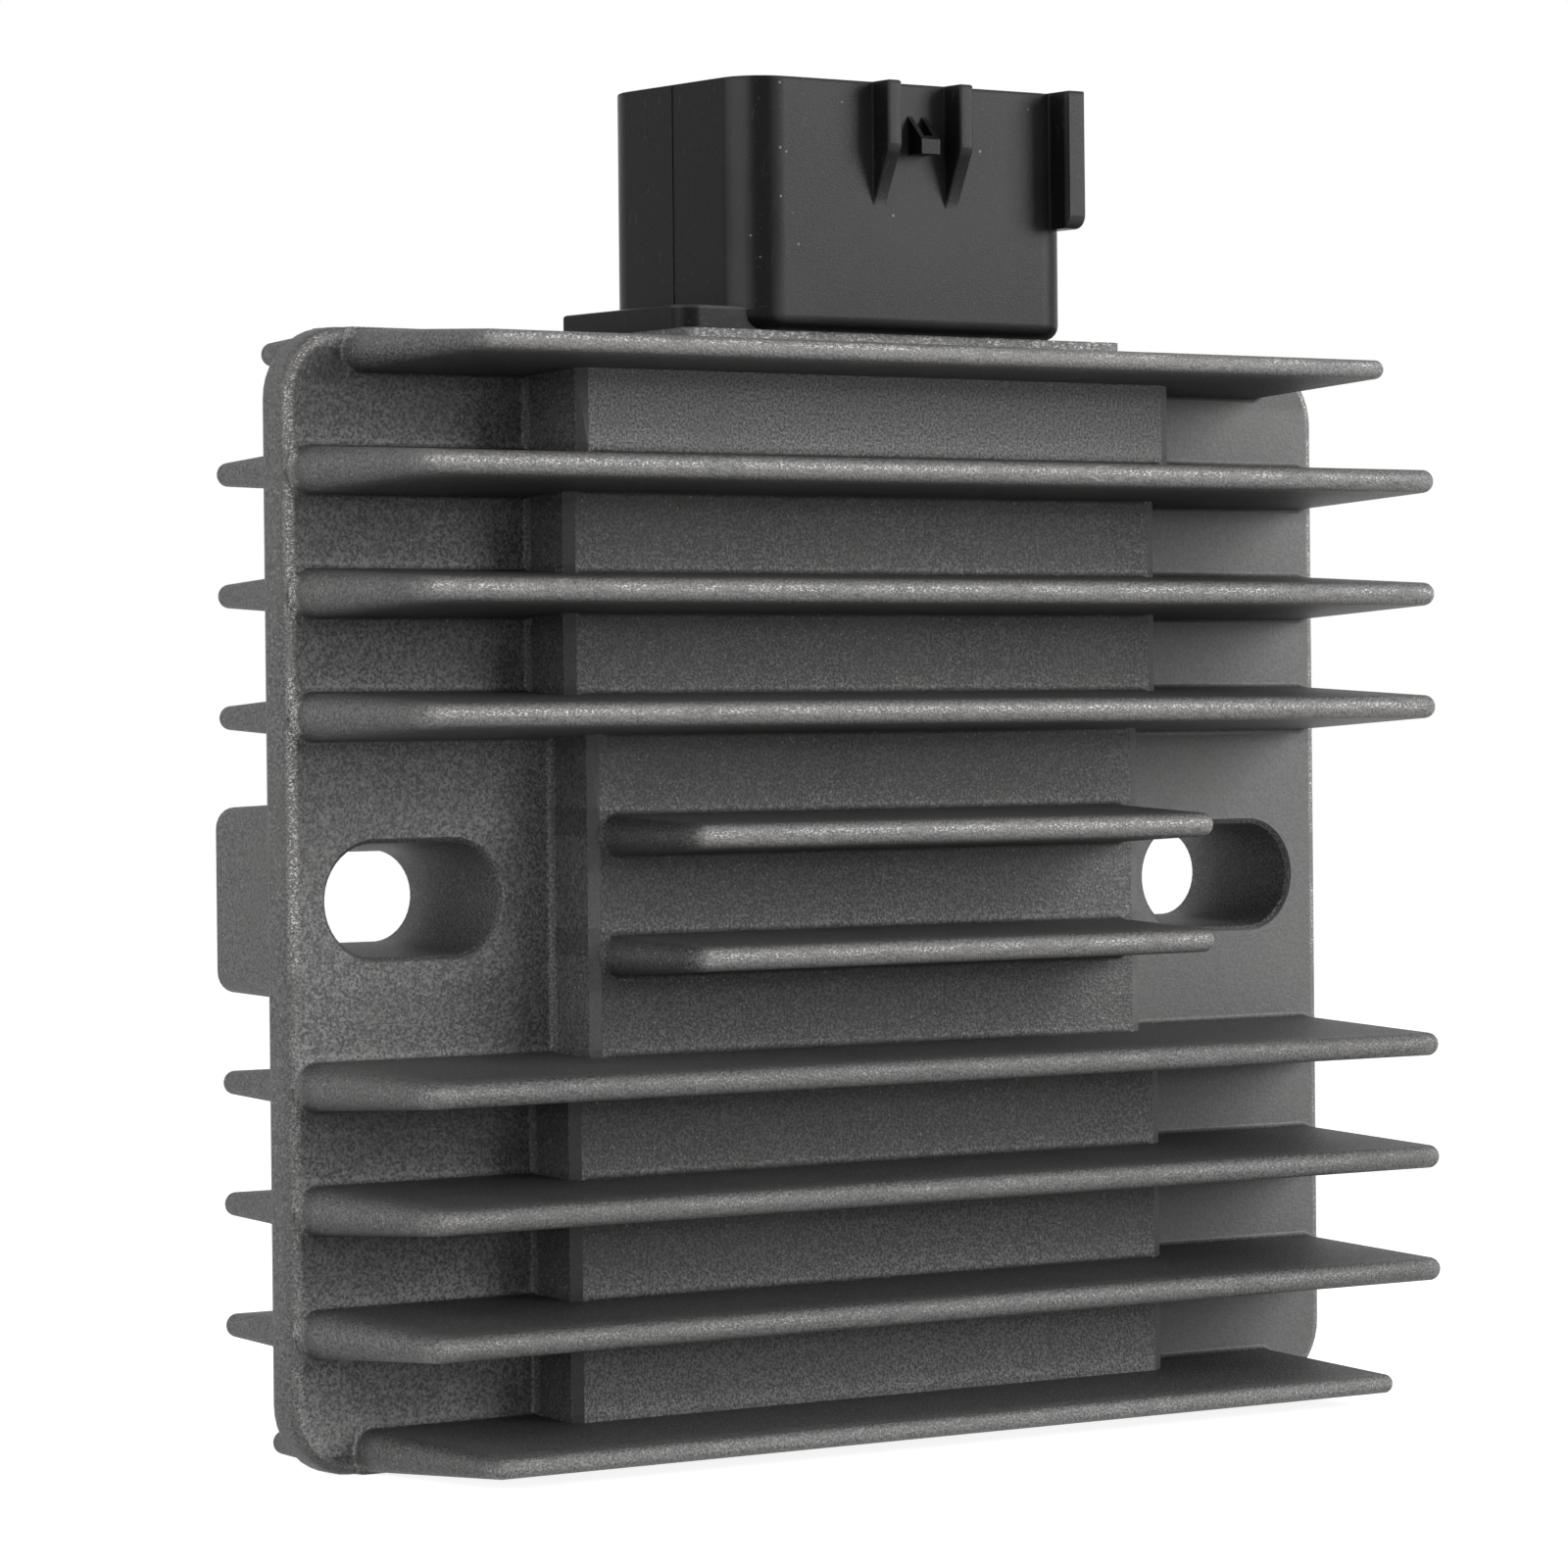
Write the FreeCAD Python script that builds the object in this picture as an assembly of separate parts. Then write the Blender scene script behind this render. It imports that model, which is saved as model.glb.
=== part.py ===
"""Voltage regulator rectifier of a motorcycle: a finned die casting with a plug socket on top.

Millimetres. X runs across the fins, Z is up towards the socket, Y runs from the front fins to the
back. The origin lies midway between the two mounting slots, on the back faces that are bolted down.
"""
import FreeCAD, Part
import math
import os

V = FreeCAD.Vector

# Plate of the casting
slot_to_plate_side = 10.35
plate_thickness = 3.2
plate_corner_radius = 5.0
plate_rim_radius = 0.9

# Ten rows of fins, numbered from the top and spread over the height of the plate
fin_rows = 10
end_fin_to_plate_end = 1.45
fin_end_inset = 0.6
end_fin_inset = 4.8
front_fin_height = 15.5
front_fin_root = 2.8
front_fin_tip = 1.65
front_fin_end_draft = 0.8
end_fin_end_draft = 1.7
fin_tip_chamfer = 0.35
fin_end_radius = 0.75
rear_fin_root = 2.45
rear_fin_tip = 1.6
rear_fin_end_draft = 0.3
rear_fin_set_back = 0.3

# Raised middle of the front, narrower beside the slots and thicker in the top bay
plateau_waist_step = 2.1
plateau_height = 4.75
top_bay_height = 6.5
plateau_edge_radius = 1.1
plateau_foot_radius = 0.8
short_fin_inset = 0.9
short_fin_end_draft = 0.7

# Mounting bosses and their slots
slot_to_waist = 5.15
slot_width = 6.5
slot_length = 13.0
slot_draft = 0.7
slot_straight = 3.0
slot_mouth_chamfer = 0.3
boss_height = 7.3
boss_width = 13.0
boss_draft = 0.3
boss_corner_radius = 1.5

# Box on the back that the electronics are potted in
box_rim_set_back = 1.0
box_wall = 2.6
box_floor = 2.6
box_end_wall = 3.1
box_corner_radius = 2.0
resin_below_rim = 1.2

# Land on the top that the socket stands on
pad_width = 39.2
pad_front = 9.2
pad_height = 0.1
pad_corner_radius = 0.8

# Plug socket
socket_width = 29.6
socket_front = 10.3
socket_depth = 18.1
socket_height = 17.9
socket_wall = 1.5
socket_floor = 3.2
socket_corner_radius = 3.2
socket_bottom_chamfer = 1.1
ear_reach = 4.9
ear_depth = 14.7
ear_front_step = 1.3
ear_thickness = 1.65
ear_corner_radius = 1.5
neck_width = 25.0
neck_depth = 9.0
neck_rear_gap = 2.4
neck_drop = 5.2
neck_corner_radius = 1.0
neck_clearance = 0.15

# Ribs and catch on the front of the socket
guide_rib_gap = 5.3
guide_rib_thickness = 1.2
guide_rib_reach = 2.0
guide_rib_straight = 4.65
guide_rib_ramp = 4.25
catch_offset = 0.2
catch_width = 1.65
catch_web = 0.4
catch_reach = 1.65
catch_drop = 2.3
catch_ramp = 1.75
catch_nose = 1.05
key_rib_inset = 0.9
key_rib_thickness = 1.5
key_rib_reach = 2.4
key_rib_height = 9.95
key_rib_radius = 1.0

# Six blades in two rows of three
blade_width = 6.3
blade_thickness = 0.8
blade_recess = 3.2
blade_columns = 8.6
blade_rows = 7.6
blade_tip_chamfer = 0.25
blade_leg_height = 1.2
tail_width = 2.4
front_tail_below_neck = 3.3
rear_tail_below_neck = 5.9

# Circuit board on its insulating sheet
sheet_thickness = 0.5
board_thickness = 1.6
board_side_gap = 2.5
board_top_gap = 3.1
board_bottom_gap = 2.4
board_head = 19.1
board_foot = 10.7
board_edge_margin = 1.9

# Power packages, three a side, with a lane for the resistors between them and the middle parts
middle_strip = 8.8
resistor_lane = 3.5
package_rows = 3
package_row_gap = 5.6
package_width = 10.2
package_body = 9.2
package_thickness = 4.4
package_tab = 1.6
package_tab_thickness = 1.3
package_leg_width = 0.8
package_leg_thickness = 0.5
package_leg_pitch = 2.54
package_leg_length = 2.6

# Small parts down the middle of the board, with the distance of each from its top edge
chip_from_top = 17.1
chip_width = 4.0
chip_length = 8.6
chip_height = 1.6
chip_leg_reach = 1.0
chip_leg_width = 0.5
chip_leg_thickness = 0.25
chip_leg_pitch = 2.0
gate_resistor_gap = 0.4
gate_resistor_size = (1.6, 3.2, 0.6)
sense_capacitor_from_top = 29.1
sense_capacitor_radius = 3.15
sense_capacitor_height = 5.8
sense_capacitor_base = (6.6, 6.6, 0.9)
filter_capacitor_from_top = 41.6
filter_capacitor_size = (7.2, 5.0, 2.6)
zener_from_top = 54.6
zener_size = (6.9, 5.9, 2.3)
zener_tab_size = (8.1, 3.0, 0.3)

# Sizes worked out from the inside outwards: parts, board, box, slots and plate
package_spacing = package_body + package_tab + package_leg_length + package_row_gap
package_x = middle_strip / 2 + resistor_lane + package_width / 2
board_width = 2 * (package_x + package_width / 2 + board_edge_margin)
board_length = board_head + (package_rows - 1) * package_spacing + board_foot
plateau_waist = board_width + 2 * (board_side_gap + box_wall)
plateau_width = plateau_waist + 2 * plateau_waist_step
slot_spacing = plateau_waist + 2 * slot_to_waist + slot_length
plate_width = slot_spacing + 2 * slot_to_plate_side
plate_height = board_length + board_top_gap + board_bottom_gap + 2 * box_end_wall - pad_height
fin_pitch = (plate_height - 2 * end_fin_to_plate_end) / (fin_rows - 1)

# Planes and places worked out from the sizes
mount_y = 0.0
plate_back_y = mount_y - boss_height
plate_front_y = plate_back_y - plate_thickness
fin_tip_y = plate_front_y - front_fin_height
plateau_y = plate_front_y - plateau_height
top_bay_y = plate_front_y - top_bay_height
rim_y = mount_y - box_rim_set_back
resin_y = rim_y - resin_below_rim
floor_y = plateau_y + box_floor
sheet_y = floor_y + sheet_thickness
board_y = sheet_y + board_thickness
pad_front_y = plate_front_y - pad_front
pad_z = plate_height / 2 + pad_height
box_top_z = pad_z - box_end_wall
box_bottom_z = box_end_wall - plate_height / 2
socket_front_y = plate_front_y - socket_front
socket_back_y = socket_front_y + socket_depth
socket_mid_y = (socket_front_y + socket_back_y) / 2
socket_top_z = pad_z + socket_height
socket_floor_z = pad_z + socket_floor
neck_back_y = rim_y - neck_rear_gap
neck_front_y = neck_back_y - neck_depth
neck_z = pad_z - neck_drop
board_top_z = box_top_z - board_top_gap
board_bottom_z = box_bottom_z + board_bottom_gap
package_top_z = board_top_z - board_head
chip_z = board_top_z - chip_from_top
sense_capacitor_z = board_top_z - sense_capacitor_from_top
overlap = 1.0


def fin_z(row):
    """Height of the middle plane of a row of fins, counted from the top."""
    return ((fin_rows - 1) / 2 - row) * fin_pitch


# The slots take the place of the two middle rows, so those fins are short
short_rows = (fin_rows // 2 - 1, fin_rows // 2)
end_rows = (0, fin_rows - 1)
waist_top_z = fin_z(short_rows[0] - 1)
waist_bottom_z = fin_z(short_rows[1] + 1)


def block(x0, x1, y0, y1, z0, z1):
    """A plain box between two corners."""
    return Part.makeBox(x1 - x0, y1 - y0, z1 - z0, V(x0, y0, z0))


def rounded(shape, radius, axis, test=None):
    """Rounds the straight edges that run along an axis, or those of them that pass the test."""
    edges = []
    for edge in shape.Edges:
        start = edge.Vertexes[0].Point
        end = edge.Vertexes[-1].Point
        run = end - start
        along = run.Length > 1e-6 and abs(run.dot(axis)) > 0.98 * run.Length
        if along and (test is None or test((start + end) * 0.5)):
            edges.append(edge)
    return shape.makeFillet(radius, edges)


def edges_on(shape, axis, level):
    """The edges that lie in one plane square to an axis."""
    low, high = axis.upper() + "Min", axis.upper() + "Max"
    found = []
    for edge in shape.Edges:
        box = edge.BoundBox
        if abs(getattr(box, low) - level) < 0.01 and abs(getattr(box, high) - level) < 0.01:
            found.append(edge)
    return found


def polygon_prism(points, direction):
    """A prism of a closed outline of points."""
    return Part.Face(Part.makePolygon(points + points[:1])).extrude(direction)


def frustum(x_root, x_tip, z_root, z_tip, y_root, y_tip):
    """A drafted block along Y: each end is a span in X, a span in Z and its own Y."""
    rings = []
    for (x0, x1), (z0, z1), y in ((x_root, z_root, y_root), (x_tip, z_tip, y_tip)):
        rings.append([V(x0, y, z0), V(x1, y, z0), V(x1, y, z1), V(x0, y, z1)])
    root, tip = rings
    outlines = [root[::-1], tip]
    for first in range(4):
        second = (first + 1) % 4
        outlines.append([root[first], root[second], tip[second], tip[first]])
    if y_tip > y_root:
        outlines = [points[::-1] for points in outlines]
    faces = [Part.Face(Part.makePolygon(points + points[:1])) for points in outlines]
    return Part.Solid(Part.Shell(faces))


def span(middle, half):
    """The two ends of a length about its middle."""
    return (middle - half, middle + half)


AXIS_X = V(1, 0, 0)
AXIS_Y = V(0, 1, 0)
AXIS_Z = V(0, 0, 1)


def stepped_outline(y0, y1, inset, z_low, z_high, corner_radius):
    """Prism of the box's outline, wide at both ends and waisted beside the slots."""
    wide = plateau_width / 2 - inset
    waist = plateau_waist / 2 - inset
    right = [(wide, z_high), (wide, waist_top_z), (waist, waist_top_z)]
    right += [(waist, waist_bottom_z), (wide, waist_bottom_z), (wide, z_low)]
    left = [(-x, z) for x, z in reversed(right)]
    points = [V(x, y0, z) for x, z in right + left]
    prism = polygon_prism(points, V(0, y1 - y0, 0))
    ends = (z_low, z_high)
    return rounded(prism, corner_radius, AXIS_Y, lambda p: min(abs(p.z - end) for end in ends) < 0.01)


def relief(half_width, front_y, z_low, z_high):
    """A stretch of the raised middle, with its rounded edges and the fillet at its foot."""
    edge = plateau_edge_radius
    foot = plateau_foot_radius
    sine = math.sin(math.pi / 4)
    segments = []
    for side in (-1, 1):
        x = side * half_width
        foot_out = V(x + side * foot, plate_front_y, z_low)
        foot_mid = V(x + side * foot * (1 - sine), plate_front_y - foot * (1 - sine), z_low)
        foot_in = V(x, plate_front_y - foot, z_low)
        edge_out = V(x, front_y + edge, z_low)
        edge_mid = V(x - side * edge * (1 - sine), front_y + edge * (1 - sine), z_low)
        edge_in = V(x - side * edge, front_y, z_low)
        back = V(x + side * foot, plate_back_y, z_low)
        segments.append((back, foot_out, foot_mid, foot_in, edge_out, edge_mid, edge_in))
    curves = []
    for back, foot_out, foot_mid, foot_in, edge_out, edge_mid, edge_in in segments:
        curves.append(Part.LineSegment(back, foot_out).toShape())
        curves.append(Part.Arc(foot_out, foot_mid, foot_in).toShape())
        curves.append(Part.LineSegment(foot_in, edge_out).toShape())
        curves.append(Part.Arc(edge_out, edge_mid, edge_in).toShape())
    curves.append(Part.LineSegment(segments[0][0], segments[1][0]).toShape())
    curves.append(Part.LineSegment(segments[0][6], segments[1][6]).toShape())
    outline = Part.Wire(Part.__sortEdges__(curves))
    return Part.Face(outline).extrude(V(0, 0, z_high - z_low))


def front_fin(row):
    """A front fin with drafted sides and ends, chamfered along its tip and rounded at its corners."""
    root_y = plate_front_y + overlap
    root_x = plate_width / 2 - fin_end_inset
    draft = front_fin_end_draft
    if row in short_rows:
        root_y = plateau_y + overlap
        root_x = plateau_waist / 2 - short_fin_inset
        draft = short_fin_end_draft
    if row in end_rows:
        root_x = plate_width / 2 - end_fin_inset
        draft = end_fin_end_draft
    slope = (front_fin_root - front_fin_tip) / 2 / front_fin_height
    root_half = front_fin_tip / 2 + slope * (root_y - fin_tip_y)
    z = fin_z(row)
    fin = frustum(
        span(0, root_x), span(0, root_x - draft),
        span(z, root_half), span(z, front_fin_tip / 2), root_y, fin_tip_y,
    )
    long_edges = [edge for edge in edges_on(fin, "y", fin_tip_y) if edge.BoundBox.XLength > front_fin_tip]
    fin = fin.makeChamfer(fin_tip_chamfer, long_edges)
    return rounded(fin, fin_end_radius, AXIS_Y)


def side_block(side, half_root, half_tip, z, y_root, y_tip, inset, corner_radius):
    """A drafted block on the back, from inside the box out to one side, rounded at its free corners."""
    inner = plateau_waist / 2 - overlap
    outer = plate_width / 2 - inset
    root_x = tuple(sorted((side * inner, side * outer)))
    tip_x = tuple(sorted((side * inner, side * (outer - rear_fin_end_draft))))
    shape = frustum(root_x, tip_x, span(z, half_root), span(z, half_tip), y_root, y_tip)
    return rounded(shape, corner_radius, AXIS_Y, lambda p: side * p.x > inner + overlap)


def rear_fin(row, side):
    """One side's fin on the back."""
    inset = end_fin_inset if row in end_rows else fin_end_inset
    return side_block(side, rear_fin_root / 2, rear_fin_tip / 2, fin_z(row), plate_back_y - overlap,
                      mount_y - rear_fin_set_back, inset, fin_end_radius)


def boss(side):
    """The drafted block around a mounting slot, on the back."""
    half = boss_width / 2
    return side_block(side, half + boss_draft, half, 0, plate_back_y, mount_y, fin_end_inset,
                      boss_corner_radius)


def slot_outline(x_middle, half_length, half_width, y):
    """A closed outline with round ends, seen along Y."""
    straight = half_length - half_width
    right, left = x_middle + straight, x_middle - straight
    curves = [
        Part.LineSegment(V(left, y, half_width), V(right, y, half_width)).toShape(),
        Part.Arc(V(right, y, half_width), V(right + half_width, y, 0), V(right, y, -half_width)).toShape(),
        Part.LineSegment(V(right, y, -half_width), V(left, y, -half_width)).toShape(),
        Part.Arc(V(left, y, -half_width), V(left - half_width, y, 0), V(left, y, half_width)).toShape(),
    ]
    return Part.Wire(curves)


def slot_cutter(side):
    """A mounting slot: straight at the bolted face, then drafted wider towards the front."""
    x = side * slot_spacing / 2
    knee_y = mount_y - slot_straight
    front_y = plate_front_y - overlap
    slope = slot_draft / (knee_y - plate_front_y)
    wider = slope * (knee_y - front_y)
    back = slot_outline(x, slot_length / 2, slot_width / 2, knee_y)
    front = slot_outline(x, slot_length / 2 + wider, slot_width / 2 + wider, front_y)
    straight = Part.Face(back).extrude(V(0, mount_y + overlap - knee_y, 0))
    return straight.fuse(Part.makeLoft([back, front], True, True))


def heatsink_casting():
    """The one die casting: plate, fins, raised middle, bosses, potting box and top land."""
    half_w, half_h = plate_width / 2, plate_height / 2
    plate = block(-half_w, half_w, plate_front_y, plate_back_y, -half_h, half_h)
    plate = rounded(plate, plate_corner_radius, AXIS_Y)
    plate = plate.makeFillet(plate_rim_radius, edges_on(plate, "y", plate_front_y))
    top, bottom = fin_z(end_rows[0]), fin_z(end_rows[1])
    pad = block(-pad_width / 2, pad_width / 2, pad_front_y, rim_y, top, pad_z)
    pieces = [
        relief(plateau_width / 2, plateau_y, waist_top_z, top),
        relief(plateau_waist / 2, plateau_y, waist_bottom_z, waist_top_z),
        relief(plateau_width / 2, plateau_y, bottom, waist_bottom_z),
        relief(plateau_width / 2, top_bay_y, fin_z(1), top),
        stepped_outline(plate_back_y - overlap, rim_y, 0, -half_h, half_h, box_corner_radius),
        rounded(pad, pad_corner_radius, AXIS_Z),
    ]
    pieces += [front_fin(row) for row in range(fin_rows)]
    for side in (-1, 1):
        pieces.append(boss(side))
        pieces += [rear_fin(row, side) for row in range(fin_rows) if row not in short_rows]
    body = plate.multiFuse(pieces)
    cutters = [
        stepped_outline(rim_y, mount_y + overlap, 0, -half_h, half_h, box_corner_radius),
        cavity(floor_y, rim_y + overlap),
        neck(neck_clearance, box_top_z - overlap),
    ]
    cutters += [slot_cutter(side) for side in (-1, 1)]
    for cutter in cutters:
        body = body.cut(cutter)
    body = body.removeSplitter()
    mouths = [edge for edge in edges_on(body, "y", plate_front_y)
              if abs(edge.CenterOfMass.x) > plateau_waist / 2 and abs(edge.CenterOfMass.z) < slot_width]
    return body.makeChamfer(slot_mouth_chamfer, mouths)


def cavity(y0, y1):
    """The space inside the potting box, between two planes."""
    return stepped_outline(y0, y1, box_wall, box_bottom_z, box_top_z, box_corner_radius)


def neck(clearance, z_low):
    """The socket's neck, which goes down through the top of the box."""
    half = neck_width / 2 + clearance
    z_high = pad_z + overlap
    shape = block(-half, half, neck_front_y - clearance, neck_back_y + clearance, z_low, z_high)
    return rounded(shape, neck_corner_radius + clearance, AXIS_Z)


def connector_housing(blades):
    """The moulded plug socket with its ear, ribs, catch and neck."""
    half = socket_width / 2
    shell = block(-half, half, socket_front_y, socket_back_y, pad_z, socket_top_z)
    shell = rounded(shell, socket_corner_radius, AXIS_Z)
    shell = shell.makeChamfer(socket_bottom_chamfer, edges_on(shell, "z", pad_z))
    ear_front_y = socket_front_y + ear_front_step
    ear = block(-half - ear_reach, 0, ear_front_y, ear_front_y + ear_depth, pad_z, pad_z + ear_thickness)
    ear = rounded(ear, ear_corner_radius, AXIS_Z, lambda p: p.x < -half and p.y < socket_mid_y)
    inner = half - socket_wall
    pocket = block(-inner, inner, socket_front_y + socket_wall, socket_back_y - socket_wall,
                   socket_floor_z, socket_top_z + overlap)
    pocket = rounded(pocket, socket_corner_radius - socket_wall, AXIS_Z)
    outside = [ear, neck(0, neck_z), catch(), key_rib()]
    outside += [guide_rib(side) for side in (-1, 1)]
    body = shell.multiFuse(outside)
    for cutter in [pocket] + blades:
        body = body.cut(cutter)
    return body.removeSplitter()


def guide_rib(side):
    """A rib on the front of the socket that runs out in a ramp."""
    inner = guide_rib_gap / 2
    reach_y = socket_front_y - guide_rib_reach
    ramp_z = socket_top_z - guide_rib_straight
    points = [
        (socket_front_y + overlap, socket_top_z), (reach_y, socket_top_z), (reach_y, ramp_z),
        (socket_front_y, ramp_z - guide_rib_ramp), (socket_front_y + overlap, ramp_z - guide_rib_ramp),
    ]
    x = inner if side > 0 else -inner - guide_rib_thickness
    return polygon_prism([V(x, y, z) for y, z in points], V(guide_rib_thickness, 0, 0))


def catch():
    """The catch between the guide ribs: a nose behind two thin ramps with a gap between them."""
    x = catch_offset - catch_width / 2
    top_z = socket_top_z - catch_drop
    nose_y = socket_front_y - catch_reach
    nose_z = top_z - catch_ramp
    bottom_z = nose_z - catch_nose
    points = [
        (socket_front_y + overlap, top_z), (socket_front_y, top_z), (nose_y, nose_z),
        (nose_y, bottom_z), (socket_front_y + overlap, bottom_z),
    ]
    wedge = polygon_prism([V(x, y, z) for y, z in points], V(catch_width, 0, 0))
    gap = block(x + catch_web, x + catch_width - catch_web, nose_y - overlap, socket_front_y,
                nose_z + catch_nose / 4, top_z + overlap)
    return wedge.cut(gap)


def key_rib():
    """The keying rib at the right end of the front."""
    x1 = socket_width / 2 - key_rib_inset
    x0 = x1 - key_rib_thickness
    y0 = socket_front_y - key_rib_reach
    z0 = socket_top_z - key_rib_height
    rib = block(x0, x1, y0, socket_front_y + socket_wall, z0, socket_top_z)
    return rounded(rib, key_rib_radius, AXIS_X, lambda p: p.y < socket_front_y and p.z < socket_top_z - 1)


def terminal(column, row):
    """A blade that stands in the socket and runs down the neck to the board."""
    x = column * blade_columns
    y = socket_mid_y + (row - 0.5) * blade_rows
    half = blade_thickness / 2
    top_z = socket_top_z - blade_recess
    blade = block(x - blade_width / 2, x + blade_width / 2, y - half, y + half,
                  pad_z + blade_leg_height, top_z)
    blade = blade.makeChamfer(blade_tip_chamfer, edges_on(blade, "z", top_z))
    tail_x = (x - tail_width / 2, x + tail_width / 2)
    if row == 0:
        tail_y = board_y + half
        tail_z = neck_z - front_tail_below_neck
        leg = block(*tail_x, y - half, tail_y + half, pad_z + blade_leg_height,
                    pad_z + blade_leg_height + blade_thickness)
        tail = block(*tail_x, tail_y - half, tail_y + half, tail_z, pad_z + blade_leg_height + half)
    else:
        tail_z = neck_z - rear_tail_below_neck
        leg = block(*tail_x, board_y, y + half, tail_z, tail_z + blade_thickness)
        tail = block(*tail_x, y - half, y + half, tail_z, pad_z + blade_leg_height + half)
    return blade.multiFuse([leg, tail]).removeSplitter()


def board_outline(y0, y1):
    """A plate of the board's outline."""
    return block(-board_width / 2, board_width / 2, y0, y1, board_bottom_z, board_top_z)


def power_package(side, row):
    """A flat power package: body, tab and three legs, lying on the board."""
    x = side * package_x
    z = package_top_z - row * package_spacing
    half_w, half_l = package_width / 2, package_body / 2
    body = block(x - half_w, x + half_w, board_y, board_y + package_thickness, z - half_l, z + half_l)
    tab = block(x - half_w, x + half_w, board_y, board_y + package_tab_thickness, z, z + half_l + package_tab)
    pieces = [tab]
    for place in (-1, 0, 1):
        leg_x = x + place * package_leg_pitch
        pieces.append(block(leg_x - package_leg_width / 2, leg_x + package_leg_width / 2, board_y,
                            board_y + package_leg_thickness, z - half_l - package_leg_length, z))
    return body.multiFuse(pieces).removeSplitter()


def control_chip():
    """The controller, with four legs a side."""
    half_w, half_l = chip_width / 2, chip_length / 2
    body = block(-half_w, half_w, board_y + chip_leg_thickness / 2, board_y + chip_height,
                 chip_z - half_l, chip_z + half_l)
    legs = []
    for place in range(4):
        leg_z = span(chip_z + (place - 1.5) * chip_leg_pitch, chip_leg_width / 2)
        leg_reach = half_w + chip_leg_reach
        legs.append(block(-leg_reach, leg_reach, board_y, board_y + chip_leg_thickness, *leg_z))
    return body.multiFuse(legs).removeSplitter()


def chip_part(x, z, size):
    """A rectangular part that lies on the board."""
    size_x, size_z, height = size
    return block(x - size_x / 2, x + size_x / 2, board_y, board_y + height, z - size_z / 2, z + size_z / 2)


def sense_capacitor():
    """A round capacitor on its square base, which stands on the board."""
    can = Part.makeCylinder(sense_capacitor_radius, sense_capacitor_height,
                            V(0, board_y, sense_capacitor_z), AXIS_Y)
    return can.fuse(chip_part(0, sense_capacitor_z, sense_capacitor_base))


def zener_diode():
    """A flat diode with a tab at either end."""
    z = board_top_z - zener_from_top
    return chip_part(0, z, zener_size).fuse(chip_part(0, z, zener_tab_size))


def build():
    """Every piece of the regulator by its name."""
    blades = {}
    names = (("phase_a", "phase_b", "phase_c"), ("battery", "sense", "ground"))
    for row, row_names in enumerate(names):
        for column, name in enumerate(row_names):
            blades["terminal_" + name] = terminal(column - 1, row)
    inner = {
        "insulating_sheet": board_outline(floor_y, sheet_y),
        "circuit_board": board_outline(sheet_y, board_y),
        "control_chip": control_chip(),
        "sense_capacitor": sense_capacitor(),
        "filter_capacitor": chip_part(0, board_top_z - filter_capacitor_from_top, filter_capacitor_size),
        "zener_diode": zener_diode(),
    }
    gate_resistor_x = -(middle_strip / 2 + gate_resistor_gap + gate_resistor_size[0] / 2)
    for row in range(package_rows):
        number = str(row + 1)
        inner["thyristor_" + number] = power_package(-1, row)
        inner["rectifier_diode_" + number] = power_package(1, row)
        resistor_z = package_top_z - row * package_spacing
        inner["gate_resistor_" + number] = chip_part(gate_resistor_x, resistor_z, gate_resistor_size)
    housing = connector_housing(list(blades.values()))
    resin = cavity(floor_y, resin_y)
    for piece in [housing] + list(blades.values()) + list(inner.values()):
        resin = resin.cut(piece)
    pieces = {
        "heatsink_casting": heatsink_casting(),
        "connector_housing": housing,
        "potting_resin": resin.removeSplitter(),
    }
    pieces.update(blades)
    pieces.update(inner)
    return pieces


os.makedirs("parts", exist_ok=True)
for piece_name, piece in build().items():
    piece.exportStep("parts/" + piece_name + ".step")
    print(piece_name, len(piece.Solids), "solid", "valid" if piece.isValid() else "NOT VALID",
          round(piece.Volume, 1), "mm3")
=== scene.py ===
"""The looks of a motorcycle's voltage regulator rectifier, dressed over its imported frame.

Metres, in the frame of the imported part: X runs across the fins, Z is up towards the plug socket and
Y runs from the front fins to the back.
"""
import bmesh
import bpy
import math
from mathutils import Matrix, Vector


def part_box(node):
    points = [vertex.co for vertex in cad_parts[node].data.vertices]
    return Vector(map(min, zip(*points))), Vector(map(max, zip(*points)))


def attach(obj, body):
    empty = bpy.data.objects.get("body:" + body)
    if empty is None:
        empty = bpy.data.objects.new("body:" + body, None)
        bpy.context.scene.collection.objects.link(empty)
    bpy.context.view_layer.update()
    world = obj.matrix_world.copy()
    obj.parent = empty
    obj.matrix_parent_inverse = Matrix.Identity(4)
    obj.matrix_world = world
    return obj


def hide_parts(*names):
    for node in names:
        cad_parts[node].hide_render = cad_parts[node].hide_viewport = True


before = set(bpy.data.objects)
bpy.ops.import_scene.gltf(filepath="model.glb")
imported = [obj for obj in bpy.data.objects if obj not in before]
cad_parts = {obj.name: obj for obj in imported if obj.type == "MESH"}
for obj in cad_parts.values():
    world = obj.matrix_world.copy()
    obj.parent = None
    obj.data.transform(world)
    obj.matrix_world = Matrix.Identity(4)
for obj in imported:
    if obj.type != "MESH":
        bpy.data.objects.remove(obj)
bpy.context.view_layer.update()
MM = 0.001

# The camera, as the photograph was taken
camera_place = Vector((-272.28, -369.13, 12.14)) * MM
camera_yaw = 0.64122
camera_pitch = -0.0102
camera_roll = -0.0102
sensor_width_mm = 36.0
lens_mm = 141.39
camera_near = 0.01

# Lights, in watts and metres
key_place = (0.62, -0.64, 0.3)
key_size = 0.5
key_watts = 8.0
fill_place = (-0.92, -0.06, 0.3)
fill_size = 0.8
fill_watts = 7.0
world_light = 0.22
floor_radius = 3.0
floor_paint = 0.65
floor_glow = 0.86

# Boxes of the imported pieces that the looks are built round
casting_low, casting_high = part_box("heatsink_casting")
socket_low, socket_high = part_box("connector_housing")

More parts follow.
